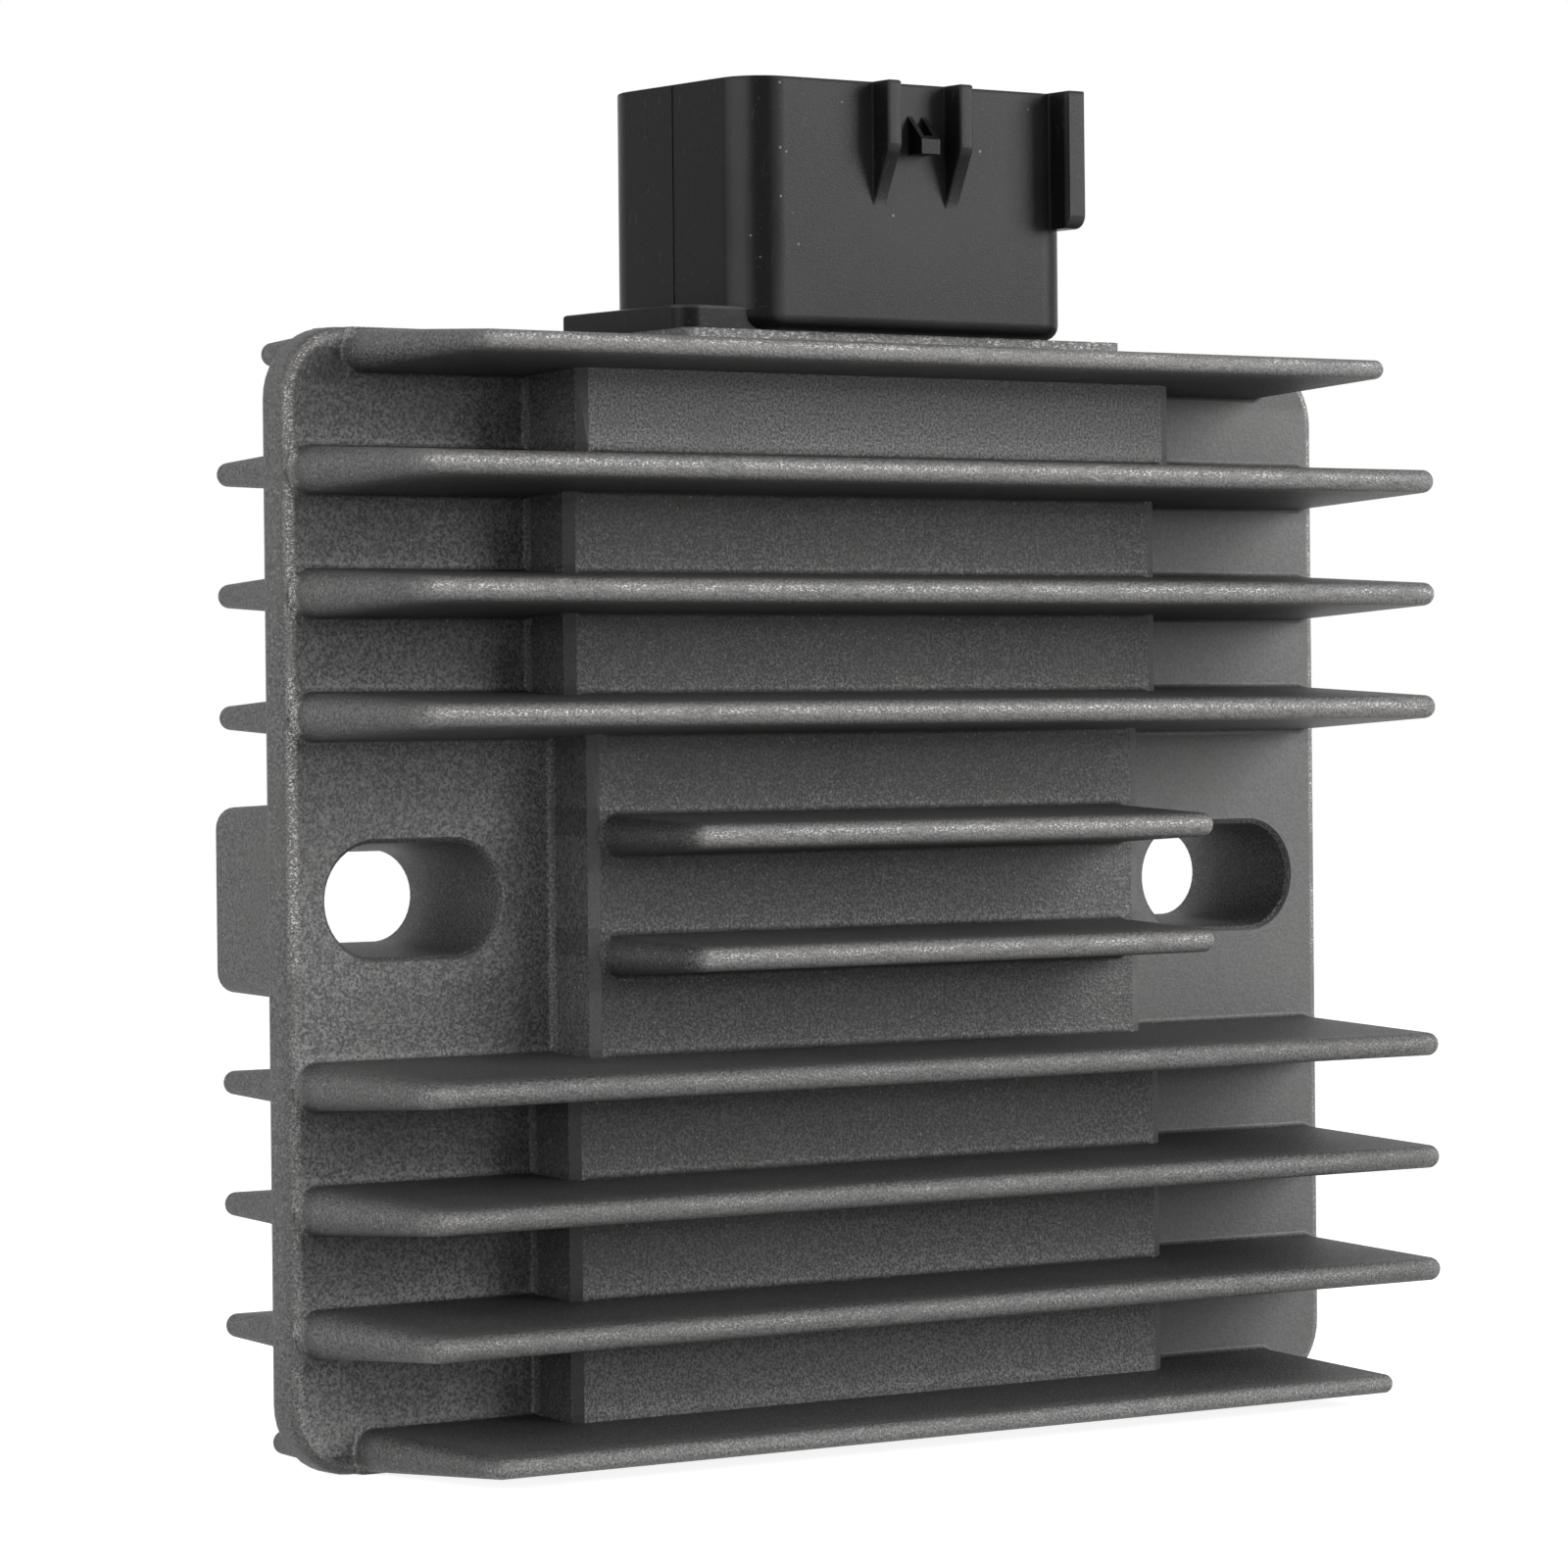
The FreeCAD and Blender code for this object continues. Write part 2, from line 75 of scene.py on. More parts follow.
# Plate
plate_half_width = casting_high.x
plate_half_height = -casting_low.z
plate_front = -10.5 * MM
plate_back = -7.3 * MM
plate_corner = 5.0 * MM
plate_rim = 0.9 * MM
plate_back_rim = 0.8 * MM

# Fins, numbered in rows from the top
fin_rows = 10
end_rows = (0, fin_rows - 1)
short_rows = (4, 5)
end_fin_to_plate_end = 1.45 * MM
fin_pitch = 2 * (plate_half_height - end_fin_to_plate_end) / (fin_rows - 1)
fin_tip_y = casting_low.y
fin_root_half = 1.65 * MM
fin_tip_half = 0.825 * MM
fin_tip_round = 0.72 * MM
fin_root_x = plate_half_width - 0.4 * MM
fin_end_draft = 1.05 * MM
end_fin_root_x = plate_half_width - 4.9 * MM
end_fin_end_draft = 1.6 * MM
end_fin_root_half = 1.45 * MM
end_fin_tip_half = 0.67 * MM
top_fin_drop = 0.2 * MM
bottom_fin_lift = 0.17 * MM
short_fin_root_half = 1.4 * MM
short_fin_end_draft = 0.7 * MM
rear_fin_tip_y = -0.3 * MM
rear_end_fin_root_x = plate_half_width - 4.15 * MM
rear_fin_root_half = 1.225 * MM
rear_fin_tip_half = 0.8 * MM
rear_fin_end_draft = 0.3 * MM
rear_fin_tip_round = 0.5 * MM
rear_foot_round = 0.65 * MM
foot_round = 0.4 * MM
foot_end_reach = 0.3 * MM
foot_steps = 4
foot_shift = 0.3 * MM
foot_overhang = 0.35 * MM

# Raised middle of the front
wide_half = 26.95 * MM
waist_half = 25.1 * MM
raised_y = -15.25 * MM
top_bay_y = -17.0 * MM
shoulder_width = 0.85 * MM
shoulder_drop = 0.4 * MM
raised_foot = 0.6 * MM
short_fin_root_x = waist_half - 0.95 * MM

# Box, bosses and slots of the back
box_rim_y = -1.0 * MM
box_wall = 2.6 * MM
box_end_wall = 3.1 * MM
box_corner = 2.0 * MM
box_floor_y = raised_y + box_wall
boss_half_height = 6.8 * MM
boss_draft = 0.3 * MM
boss_corner = 1.5 * MM
slot_x = 36.75 * MM
slot_half_length = 6.5 * MM
slot_half_width = 3.25 * MM
slot_straight = 3.0 * MM
slot_draft = 0.7 * MM
slot_mouth = 0.35 * MM

# Land under the socket, and the hole that its neck goes down
pad_half_width = 19.6 * MM
pad_right_end = 20.1 * MM
pad_front_y = -19.7 * MM
pad_top = casting_high.z
pad_corner = 0.8 * MM
neck_hole_half = 12.65 * MM
neck_hole_front = -12.55 * MM
neck_hole_back = -3.25 * MM

# Plug socket, with its guide ribs, catch and keying rib
socket_front = -20.8 * MM
socket_corner = 3.2 * MM
socket_bottom_round = 1.1 * MM
socket_wall = 1.5 * MM
socket_floor = 3.2 * MM
soft_edge = 0.18 * MM
ear_front_step = 1.3 * MM
ear_depth = 14.7 * MM
ear_thickness = 1.65 * MM
ear_corner = 1.5 * MM
neck_half = 12.5 * MM
neck_front = -12.4 * MM
neck_back = -3.4 * MM
rib_gap = 5.3 * MM
rib_thickness = 1.2 * MM
rib_reach = 2.0 * MM
rib_straight = 4.65 * MM
rib_ramp = 4.25 * MM
catch_x = 0.2 * MM
catch_width = 1.65 * MM
catch_web = 0.4 * MM
catch_reach = 1.65 * MM
catch_drop = 2.3 * MM
catch_ramp = 1.75 * MM
catch_nose = 1.05 * MM
key_rib_inset = 0.9 * MM
key_rib_thickness = 1.5 * MM
key_rib_height = 9.95 * MM
key_rib_round = 1.0 * MM
parting_y = -11.6 * MM
parting_width = 0.14 * MM
parting_height = 0.05 * MM

# How far a joined piece starts inside the one that carries it, and how far a cutter runs past
sunk = 1.0 * MM
hair = 0.01 * MM
same = 0.002 * MM

# Edges and faces are picked by their share of an axis, and edges above an angle stay sharp
parallel = 0.9
casting_smooth_angle = math.radians(24.5)
socket_smooth_angle = math.radians(32)
flat_face_weight = 100

# Grain, wear, painted glints and scratches: noises by how often they repeat in a metre, and what of them
# shows
grain_contrast = (0.32, 0.68)
speck_edge = (0.30, 0.12)
patches_per_metre = 90.0
patch_contrast = (0.35, 0.65)
rubs_per_metre = 2200.0
rub_stretch = (0.4, 1, 1)
rub_contrast = (0.3, 0.6)
rub_least = 0.35
glints_per_metre = 8500.0
glint_stretch = (0.45, 1, 1)
glint_contrast = (0.50, 0.68)
glint_lines_per_metre = 260.0
glint_line_contrast = (0.34, 0.56)
dents_per_metre = 420.0
dent_stretch = (0.6, 1, 1)
dent_contrast = (0.62, 0.70)
scratch_turns = (0.3, 1.35)
scratch_stretch = (1, 30, 30)
scratch_contrast = (0.70, 0.76)

# Zones of the casting's finish and of its painted light and shade, in millimetres from what each is measured
# from. Two numbers are where a fade starts and ends, and three are the sides of a band and how softly it
# ends.
on_surface = (-0.1, 0.1, 0.05)
shoulder_margin = 0.03
painted_waist_highlight = (6.0, 3.0)
smooth_end_start = (-1.0, 1.0)
shade_under_fin = (-3.1, -1.8)
shade_to_plate = (0.4, 0.1)
fin_top_reach = (2.1, 1.8)
fin_top_to_plate = (0.0, -0.5)
behind_fin_tip = (0.8, 2.5)
painted_foot_highlight = (1.6, 0.0)
foot_line = (-0.02, 0.14, 0.08)
tip_rub = (0.6, 0.05)
tip_crest = (0.05, 0.2, 0.25)
rim_inward = (0.4, 0.7, 0.3)
rim_depth = (-0.5, 0.5, 0.4)
fin_end_inward = (4.5, 1.6)
fin_end_off_plate = (-0.6, -2.0)
pad_over_fin = 0.9
pad_front_rub = (0.5, 0.1)

# Tones of the casting's finish with its painted sparkle and glints, and how much lighter or darker its zones
# are painted: painted light and shade that stand for how the lamps fall on them
grain_tones = (0.026, 0.124)
smooth_tone = 0.075
smooth_share = 0.7
painted_light_and_shade_gains = {
    "left plate": 1.65, "top bay": 1.7, "bottom bay": 1.5, "far end": 1.15, "shoulder": 0.62,
    "waist edge": 1.9, "under fin": 0.6, "fin top": 0.68, "foot glow": 1.22, "fin end": 1.6,
}
metal_tint = (1.0, 0.992, 0.985)
patch_tone = (0.086, 0.083, 0.079)
patch_share = 0.25
sparkle_tone = (0.28, 0.28, 0.275)
sparkle_share = 0.6
sparkle_lost_where_smooth = 0.8
foot_line_tone = (0.24, 0.237, 0.23)
foot_line_shares = (0.5, 1.0)
worn_dark = (0.125, 0.122, 0.118)
worn_light = (0.205, 0.20, 0.195)
painted_glint_tone = (0.56, 0.55, 0.53)
rim_wear = 0.75
pad_wear = 0.7
pad_painted_glints = 0.8
wear_top_to_low = (0.92, 0.36)
roughness_plain_to_worn = (0.56, 0.44)
nick_depth = 1.5
casting_bump_mm = 0.035

# Finish of the socket: grey tones, where a painted sheen and a painted highlight make it paler, and where it
# is duller, in millimetres as above
plastic_dark = 0.004
plastic_light = 0.008
painted_sheen_tone = 0.034
painted_sheen_least = 0.6
painted_sheen_on_front = (-0.02, 0.0, 0.3)
painted_sheen_on_ribs = (-1.7, -1.95)
corner_highlight_tone = 0.05
corner_highlight_share = 0.75
corner_highlight_band = (-1.9, -0.7, 0.6)
corner_highlight_over_pad = 1.4
scratch_tone = 0.07
scratch_share = 0.25
dust_tone = 0.3
dust_share = 0.6
plastic_roughness = (0.3, 0.36)
dull_rim = (-0.3, -0.05)
dull_rim_roughness = 0.35
plastic_bump_mm = 0.005

# How far the roughness of an inner piece goes up and down
roughness_play = 0.04


def start_clean():
    """Leaves edit mode and deselects everything."""
    if bpy.context.object and bpy.context.object.mode != "OBJECT":
        bpy.ops.object.mode_set(mode="OBJECT")
    bpy.ops.object.select_all(action="DESELECT")


def make_active(piece):
    """Selects one piece alone."""
    start_clean()
    piece.select_set(True)
    bpy.context.view_layer.objects.active = piece


def remove(piece):
    """Deletes a piece."""
    make_active(piece)
    bpy.ops.object.delete()


def edit(piece):
    """Opens a piece in edit mode with nothing selected."""
    make_active(piece)
    bpy.ops.object.mode_set(mode="EDIT")
    bpy.ops.mesh.select_mode(type="VERT")
    bpy.ops.mesh.select_all(action="DESELECT")


def close_edit():
    """Goes back to object mode."""
    bpy.ops.object.mode_set(mode="OBJECT")


def look_from_camera():
    """Places the camera where the photograph was taken from."""
    bpy.ops.object.camera_add()
    camera = bpy.context.object
    camera.name = "photo_camera"
    forward = Vector((
        math.sin(camera_yaw) * math.cos(camera_pitch),
        math.cos(camera_yaw) * math.cos(camera_pitch),
        math.sin(camera_pitch),
    ))
    level = Vector((math.cos(camera_yaw), -math.sin(camera_yaw), 0))
    up = level.cross(forward)
    right = math.cos(camera_roll) * level + math.sin(camera_roll) * up
    top = math.cos(camera_roll) * up - math.sin(camera_roll) * level
    turn = Matrix((right, top, -forward)).transposed().to_4x4()
    camera.matrix_world = Matrix.Translation(camera_place) @ turn
    camera.data.sensor_width = sensor_width_mm
    camera.data.lens = lens_mm
    camera.data.clip_start = camera_near
    bpy.context.scene.camera = camera


def soft_lamp(name, place, aim, size, watts):
    """A square soft lamp that points at a place."""
    bpy.ops.object.light_add(type="AREA", location=place)
    lamp = bpy.context.object
    lamp.name = name
    lamp.rotation_euler = (Vector(aim) - Vector(place)).to_track_quat("-Z", "Y").to_euler()
    lamp.data.size = size
    lamp.data.energy = watts


def smooth_shading(piece, angle):
    """Smooth shading that keeps the edges above an angle and leaves the flat faces flat."""
    make_active(piece)
    bpy.ops.object.shade_smooth_by_angle(angle=angle, keep_sharp_edges=False)
    bpy.ops.object.modifier_add(type="WEIGHTED_NORMAL")
    weighted = piece.modifiers[-1]
    weighted.keep_sharp = True
    weighted.weight = flat_face_weight
    bpy.ops.object.modifier_apply(modifier=weighted.name)


def block(name, low, high):
    """A box between two corners."""
    low, high = Vector(low), Vector(high)
    start_clean()
    bpy.ops.mesh.primitive_cube_add(size=1, location=(low + high) / 2)
    piece = bpy.context.object
    piece.name = name
    piece.scale = high - low
    bpy.ops.object.transform_apply()
    return piece


def copy_of(piece, name, move):
    """A copy of a piece with its own mesh, moved to its place."""
    make_active(piece)
    bpy.ops.object.duplicate()
    copied = bpy.context.object
    copied.name = name
    bpy.ops.transform.translate(value=move)
    bpy.ops.object.transform_apply()
    return copied


def at(value, level):
    """Tells whether a coordinate lies at a level."""
    return abs(value - level) < same


def along(share):
    """Tells whether a direction lies along an axis, from its share of that axis."""
    return abs(share) > parallel


def select_points(piece, test):
    """Selects the points that pass a test, and the edges and faces between them."""
    bpy.ops.mesh.select_mode(type="VERT")
    bpy.ops.mesh.select_all(action="DESELECT")
    mesh = bmesh.from_edit_mesh(piece.data)
    for vertex in mesh.verts:
        vertex.select_set(test(vertex.co))
    mesh.select_flush(True)
    bmesh.update_edit_mesh(piece.data)


def move_points(piece, test, move):
    """Moves the points that pass a test."""
    edit(piece)
    select_points(piece, test)
    bpy.ops.transform.translate(value=move)
    close_edit()


def round_edges(piece, test, width, segments):
    """Rounds the edges of a piece whose middle and direction pass a test."""
    edit(piece)
    bpy.ops.mesh.select_mode(type="EDGE")
    mesh = bmesh.from_edit_mesh(piece.data)
    for edge in mesh.edges:
        start, end = edge.verts[0].co, edge.verts[1].co
        if test((start + end) / 2, (end - start).normalized()):
            edge.select_set(True)
    bmesh.update_edit_mesh(piece.data)
    bpy.ops.mesh.bevel(offset=width, segments=segments)
    close_edit()
    return piece


def cut_level(piece, place, way):
    """Adds an edge all round a piece, where a plane crosses it."""
    edit(piece)
    bpy.ops.mesh.select_all(action="SELECT")
    bpy.ops.mesh.bisect(plane_co=place, plane_no=way)
    close_edit()


def pull_faces(piece, test, move):
    """Extrudes the faces whose middle and normal pass a test."""
    edit(piece)
    bpy.ops.mesh.select_mode(type="FACE")
    mesh = bmesh.from_edit_mesh(piece.data)
    for face in mesh.faces:
        if test(face.calc_center_median(), face.normal):
            face.select_set(True)
    bmesh.update_edit_mesh(piece.data)
    bpy.ops.mesh.extrude_region_move(TRANSFORM_OT_translate={"value": move})
    close_edit()


def join_all(base, others, operation):
    """Joins other pieces to a base, or cuts them from it, and deletes them."""
    group = bpy.data.collections.new("parts_of_" + base.name)
    bpy.context.scene.collection.children.link(group)
    for other in others:
        group.objects.link(other)
    make_active(base)
    bpy.ops.object.modifier_add(type="BOOLEAN")
    boolean = base.modifiers[-1]
    boolean.operation = operation
    boolean.operand_type = "COLLECTION"
    boolean.collection = group
    boolean.solver = "MANIFOLD"
    bpy.ops.object.modifier_apply(modifier=boolean.name)
    start_clean()
    for other in others:
        other.select_set(True)
    bpy.ops.object.delete()
    bpy.data.collections.remove(group)


def round_ended(name, rings, corners=24):
    """A block with round ends, grown ring by ring along Y: depth, left end, right end, half width."""
    y, left, right, half = rings[0]
    start_clean()
    bpy.ops.mesh.primitive_circle_add(
        vertices=corners, radius=half / math.cos(math.pi / corners), fill_type="NGON",
        location=(0, y, 0), rotation=(math.pi / 2, math.pi / corners, 0),
    )
    piece = bpy.context.object
    piece.name = name
    bpy.ops.object.transform_apply()
    edit(piece)
    middle = (left + right) / 2
    bpy.ops.mesh.select_all(action="SELECT")
    bpy.ops.transform.translate(value=(middle, 0, 0))
    for side, end in ((-1, left + half), (1, right - half)):
        select_points(piece, lambda point: side * (point.x - middle) > 0)
        bpy.ops.transform.translate(value=(end - middle, 0, 0))
    for last, ring in zip(rings, rings[1:]):
        grow_ring(piece, last, ring)
    bpy.ops.mesh.select_all(action="SELECT")
    bpy.ops.mesh.normals_make_consistent(inside=False)
    close_edit()
    return piece


def grow_ring(piece, last, ring):
    """Extrudes the last ring of a round-ended block to the next one."""
    last_y, last_left, last_right, last_half = last
    y, left, right, half = ring
    select_points(piece, lambda point: at(point.y, last_y))
    bpy.ops.mesh.extrude_region_move(TRANSFORM_OT_translate={"value": (0, y - last_y, 0)})
    middle = (last_left + last_right) / 2
    share = half / last_half
    ends = ((-1, last_left + last_half, left + half), (1, last_right - last_half, right - half))
    for side, centre, new_centre in ends:
        select_points(piece, lambda point: at(point.y, y) and side * (point.x - middle) > 0)
        bpy.ops.transform.resize(value=(share, 1, share), center_override=(centre, y, 0))
        bpy.ops.transform.translate(value=(new_centre - centre, 0, 0))


def fin(name, surface_y, tip_y, root_ends, tip_ends, halves, foot, tip_round):
    """A drafted fin at mid height, with round ends and tip, whose foot flares into the surface under it."""
    root_half, tip_half = halves
    way = 1 if tip_y > surface_y else -1
    height = abs(tip_y - surface_y)
    levels = [(-sunk, 1.0), (-hair, 1.0)]
    for step in range(1, foot_steps + 1):
        turn = math.pi / 2 * step / foot_steps
        levels.append((foot * (1 - math.cos(turn)), 1 - math.sin(turn)))
    levels.append((height, 0.0))
    rings = []
    for rise, flare in levels:
        share = rise / height
        left = root_ends[0] + (tip_ends[0] - root_ends[0]) * share - foot_end_reach * flare
        right = root_ends[1] + (tip_ends[1] - root_ends[1]) * share + foot_end_reach * flare
        half = root_half + (tip_half - root_half) * share + foot * flare
        rings.append((surface_y + way * rise, left, right, half))
    piece = round_ended(name, rings)
    if tip_round:
        round_edges(piece, lambda middle, run: at(middle.y, tip_y), tip_round, segments=5)
    return piece


def fin_z(row):
    """Height of a row of fins, counted from the top."""
    return ((fin_rows - 1) / 2 - row) * fin_pitch


waist_top = fin_z(short_rows[0] - 1)
waist_bottom = fin_z(short_rows[1] + 1)


def fins_of_rows(model, rows, name):
    """Copies of one fin at each of its rows. The model itself is deleted."""
    copies = [copy_of(model, f"{name}_{row}", (0, 0, fin_z(row))) for row in rows]
    remove(model)
    return copies


def front_fins():
    """The ten front fins: those beside the slots are short, the end ones thin and clear of the corners."""
    def model(name, surface_y, root_x, draft, halves):
        root_ends, tip_ends = (-root_x, root_x), (draft - root_x, root_x - draft)
        tip_round = halves[1] - (fin_tip_half - fin_tip_round)
        return fin(name, surface_y, fin_tip_y, root_ends, tip_ends, halves, foot_round, tip_round)
    long_rows = [row for row in range(fin_rows) if row not in end_rows + short_rows]
    long_fin = model("long_fin", plate_front, fin_root_x, fin_end_draft, (fin_root_half, fin_tip_half))
    end_fin = model("end_fin", plate_front, end_fin_root_x, end_fin_end_draft,
                    (end_fin_root_half, end_fin_tip_half))
    short_fin = model("short_fin", raised_y, short_fin_root_x, short_fin_end_draft,
                      (short_fin_root_half, fin_tip_half))
    fins = [copy_of(end_fin, "top_fin", (0, 0, fin_z(end_rows[0]) - top_fin_drop)),
            copy_of(end_fin, "bottom_fin", (0, 0, fin_z(end_rows[1]) + bottom_fin_lift))]
    remove(end_fin)
    fins += fins_of_rows(long_fin, long_rows, "long_fin")
    return fins + fins_of_rows(short_fin, short_rows, "short_fin")


def inner_feet():
    """The flared feet of the long fins where they cross the raised middle, one for each side of a bay."""
    slope = (fin_root_half - fin_tip_half) / (plate_front - fin_tip_y)
    height = 2 * foot_round
    models = {}
    feet = []
    for bay in range(fin_rows - 1):
        front_y = top_bay_y if bay == 0 else raised_y
        half_span = waist_half if short_rows[0] - 1 <= bay <= short_rows[1] else wide_half
        key = (front_y, half_span)
        if key not in models:
            half = fin_tip_half + slope * (front_y - fin_tip_y) - foot_shift
            halves = (half, half - slope * height)
            end = half_span - shoulder_width + foot_overhang
            ends = (-end, end)
            models[key] = fin("foot", front_y, front_y - height, ends, ends, halves, foot_round, 0)
        for row, side in ((bay, -1), (bay + 1, 1)):
            if row not in short_rows + end_rows:
                move = (0, 0, fin_z(row) + side * foot_shift)
                feet.append(copy_of(models[key], f"foot_{bay}_{side}", move))
    for model in models.values():
        remove(model)
    return feet


def rear_fins():
    """The fins of the back, from the box's wall out to both sides."""
    rows = [row for row in range(fin_rows) if row not in short_rows]
    fins = []
    for side in (-1, 1):
        inner = side * (waist_half - box_wall)
        for kind, outer in (("rear_fin", fin_root_x), ("rear_end_fin", rear_end_fin_root_x)):
            root_ends = tuple(sorted((inner, side * outer)))
            tip_ends = tuple(sorted((inner, side * (outer - rear_fin_end_draft))))
            model = fin(kind, plate_back, rear_fin_tip_y, root_ends, tip_ends,
                        (rear_fin_root_half, rear_fin_tip_half), rear_foot_round, rear_fin_tip_round)
            kind_rows = [row for row in rows if (row in end_rows) == (kind == "rear_end_fin")]
            fins += fins_of_rows(model, kind_rows, f"{kind}_{side}")
    return fins


def plate():
    """The plate with its rounded corners and rims."""
    piece = block("finned_casting", (-plate_half_width, plate_front, -plate_half_height),
                  (plate_half_width, plate_back, plate_half_height))
    round_edges(piece, lambda middle, run: along(run.y), plate_corner, segments=10)
    round_edges(piece, lambda middle, run: at(middle.y, plate_front), plate_rim, segments=4)
    return round_edges(piece, lambda middle, run: at(middle.y, plate_back), plate_back_rim, segments=2)


def raised_stretch(name, half, front_y, z_low, z_high):
    """A stretch of the raised middle, with sloped shoulders and feet flared into the plate."""
    base_y = plate_front + hair
    base_half = half + 2 * raised_foot
    piece = block(name, (-base_half, base_y, z_low), (base_half, plate_back - sunk, z_high))
    for side in (-1, 1):
        cut_level(piece, (side * half, 0, 0), (1, 0, 0))
    pull_faces(piece, lambda middle, normal: normal.y < -parallel and abs(middle.x) < half,
               (0, front_y - base_y, 0))
    round_edges(
        piece, lambda middle, run: along(run.z) and at(abs(middle.x), half) and at(middle.y, base_y),
        raised_foot, segments=5,
    )
    for side in (-1, 1):
        cut_level(piece, (side * (half - shoulder_width), 0, 0), (1, 0, 0))
    move_points(piece, lambda point: at(point.y, front_y) and at(abs(point.x), half), (0, shoulder_drop, 0))
    return piece


def box_outline(name, y_low, y_high, inset, z_low, z_high):
    """A block with the potting box's outline: wide at both ends and waisted beside the slots."""
    waist = waist_half - inset
    piece = block(name, (-waist, y_low, z_low), (waist, y_high, z_high))
    for level in (waist_bottom, waist_top):
        cut_level(piece, (0, 0, level), (0, 0, 1))
    for side in (-1, 1):
        pull_faces(
            piece,
            lambda middle, normal: side * normal.x > parallel and not waist_bottom < middle.z < waist_top,
            (side * (wide_half - waist_half), 0, 0),
        )
    return round_edges(
        piece, lambda middle, run: along(run.y) and (at(middle.z, z_low) or at(middle.z, z_high)),
        box_corner, segments=5,
    )


def boss(side):
    """The drafted block around a mounting slot, on the back."""
    low_x, high_x = sorted((side * (waist_half - box_wall), side * fin_root_x))
    piece = block("boss", (low_x, plate_back - sunk, -boss_half_height), (high_x, 0, boss_half_height))
    edit(piece)
    select_points(piece, lambda point: at(point.y, 0))
    share = 1 - boss_draft / boss_half_height
    bpy.ops.transform.resize(value=(1, 1, share), center_override=(0, 0, 0))
    close_edit()
    move_points(piece, lambda point: at(point.y, 0) and side * point.x > waist_half,
                (-side * boss_draft, 0, 0))
    return round_edges(piece, lambda middle, run: along(run.y) and side * middle.x > waist_half,
                       boss_corner, segments=6)


def slot_cutter(side):
    """A mounting slot: straight at the bolted face, drafted wider to the front, with a softened mouth."""
    levels = ((sunk, 0), (-slot_straight, 0), (plate_front + slot_mouth, slot_draft),
              (plate_front, slot_draft + slot_mouth), (plate_front - sunk, slot_draft + slot_mouth))
    x = side * slot_x
    rings = []
    for y, wider in levels:
        rings.append((y, x - slot_half_length - wider, x + slot_half_length + wider, slot_half_width + wider))
    return round_ended("slot_cutter", rings, corners=40)


def finned_casting():
    """The one die casting: plate, fins, raised middle, bosses, potting box and the land on top."""
    top, bottom = fin_z(0), fin_z(fin_rows - 1)
    pieces = [
        raised_stretch("raised_top", wide_half, raised_y, waist_top, top),
        raised_stretch("raised_waist", waist_half, raised_y, waist_bottom - hair, waist_top + hair),
        raised_stretch("raised_bottom", wide_half, raised_y, bottom, waist_bottom),
        raised_stretch("raised_top_bay", wide_half, top_bay_y, fin_z(1), top + hair),
        box_outline("box_outside", plate_back - sunk, box_rim_y, 0, -plate_half_height, plate_half_height),
    ]
    pieces += front_fins() + inner_feet() + rear_fins()
    pieces += [boss(side) for side in (-1, 1)]
    casting = plate()
    join_all(casting, pieces, "UNION")
    flush = plate_half_height - hair
    past_ends = []
    for low_z, high_z in ((flush, flush + 2 * sunk), (-flush - 2 * sunk, -flush)):
        past_ends.append(block("past_end", (-2 * plate_half_width, 2 * fin_tip_y, low_z),
                               (2 * plate_half_width, -fin_tip_y, high_z)))
    join_all(casting, past_ends, "DIFFERENCE")
    pad = block("pad", (-pad_half_width, pad_front_y, top), (pad_right_end, box_rim_y, pad_top))
    round_edges(pad, lambda middle, run: along(run.z), pad_corner, segments=4)
    join_all(casting, [pad], "UNION")
    cutters = [
        box_outline("above_rim", box_rim_y, sunk, 0, -plate_half_height - hair, plate_half_height + sunk),
        box_outline("cavity", box_floor_y, sunk, box_wall,
                    box_end_wall - plate_half_height, pad_top - box_end_wall),
        block("neck_hole", (-neck_hole_half, neck_hole_front, pad_top - box_end_wall - sunk),
              (neck_hole_half, neck_hole_back, pad_top + sunk)),
    ]
    cutters += [slot_cutter(side) for side in (-1, 1)]
    join_all(casting, cutters, "DIFFERENCE")
    smooth_shading(casting, casting_smooth_angle)
    return casting


def guide_rib(side):
    """A rib on the socket's front that runs out in a ramp."""
    low_x, high_x = sorted((side * rib_gap / 2, side * (rib_gap / 2 + rib_thickness)))
    ramp_z = socket_high.z - rib_straight
    foot_z = ramp_z - rib_ramp
    rib = block("guide_rib", (low_x, socket_front - rib_reach, foot_z),
                (high_x, socket_front + sunk, socket_high.z))
    cut_level(rib, (0, 0, ramp_z), (0, 0, 1))
    move_points(rib, lambda point: point.y < socket_front and at(point.z, foot_z), (0, rib_reach + hair, 0))
    return round_edges(rib, lambda middle, run: middle.y < socket_front - same, soft_edge, segments=2)


def catch():
    """The catch between the ribs: a nose below two thin ramps with a gap between them."""
    low_x, high_x = catch_x - catch_width / 2, catch_x + catch_width / 2
    top_z = socket_high.z - catch_drop
    nose_z = top_z - catch_ramp
    wedge = block("catch", (low_x, socket_front - catch_reach, nose_z - catch_nose),
                  (high_x, socket_front + sunk, top_z))
    cut_level(wedge, (0, 0, nose_z), (0, 0, 1))
    move_points(wedge, lambda point: point.y < socket_front and at(point.z, top_z),
                (0, catch_reach + hair, 0))
    gap = block("catch_gap", (low_x + catch_web, socket_front - catch_reach - sunk, nose_z + catch_nose / 4),
                (high_x - catch_web, socket_front, top_z + sunk))
    join_all(wedge, [gap], "DIFFERENCE")
    return wedge


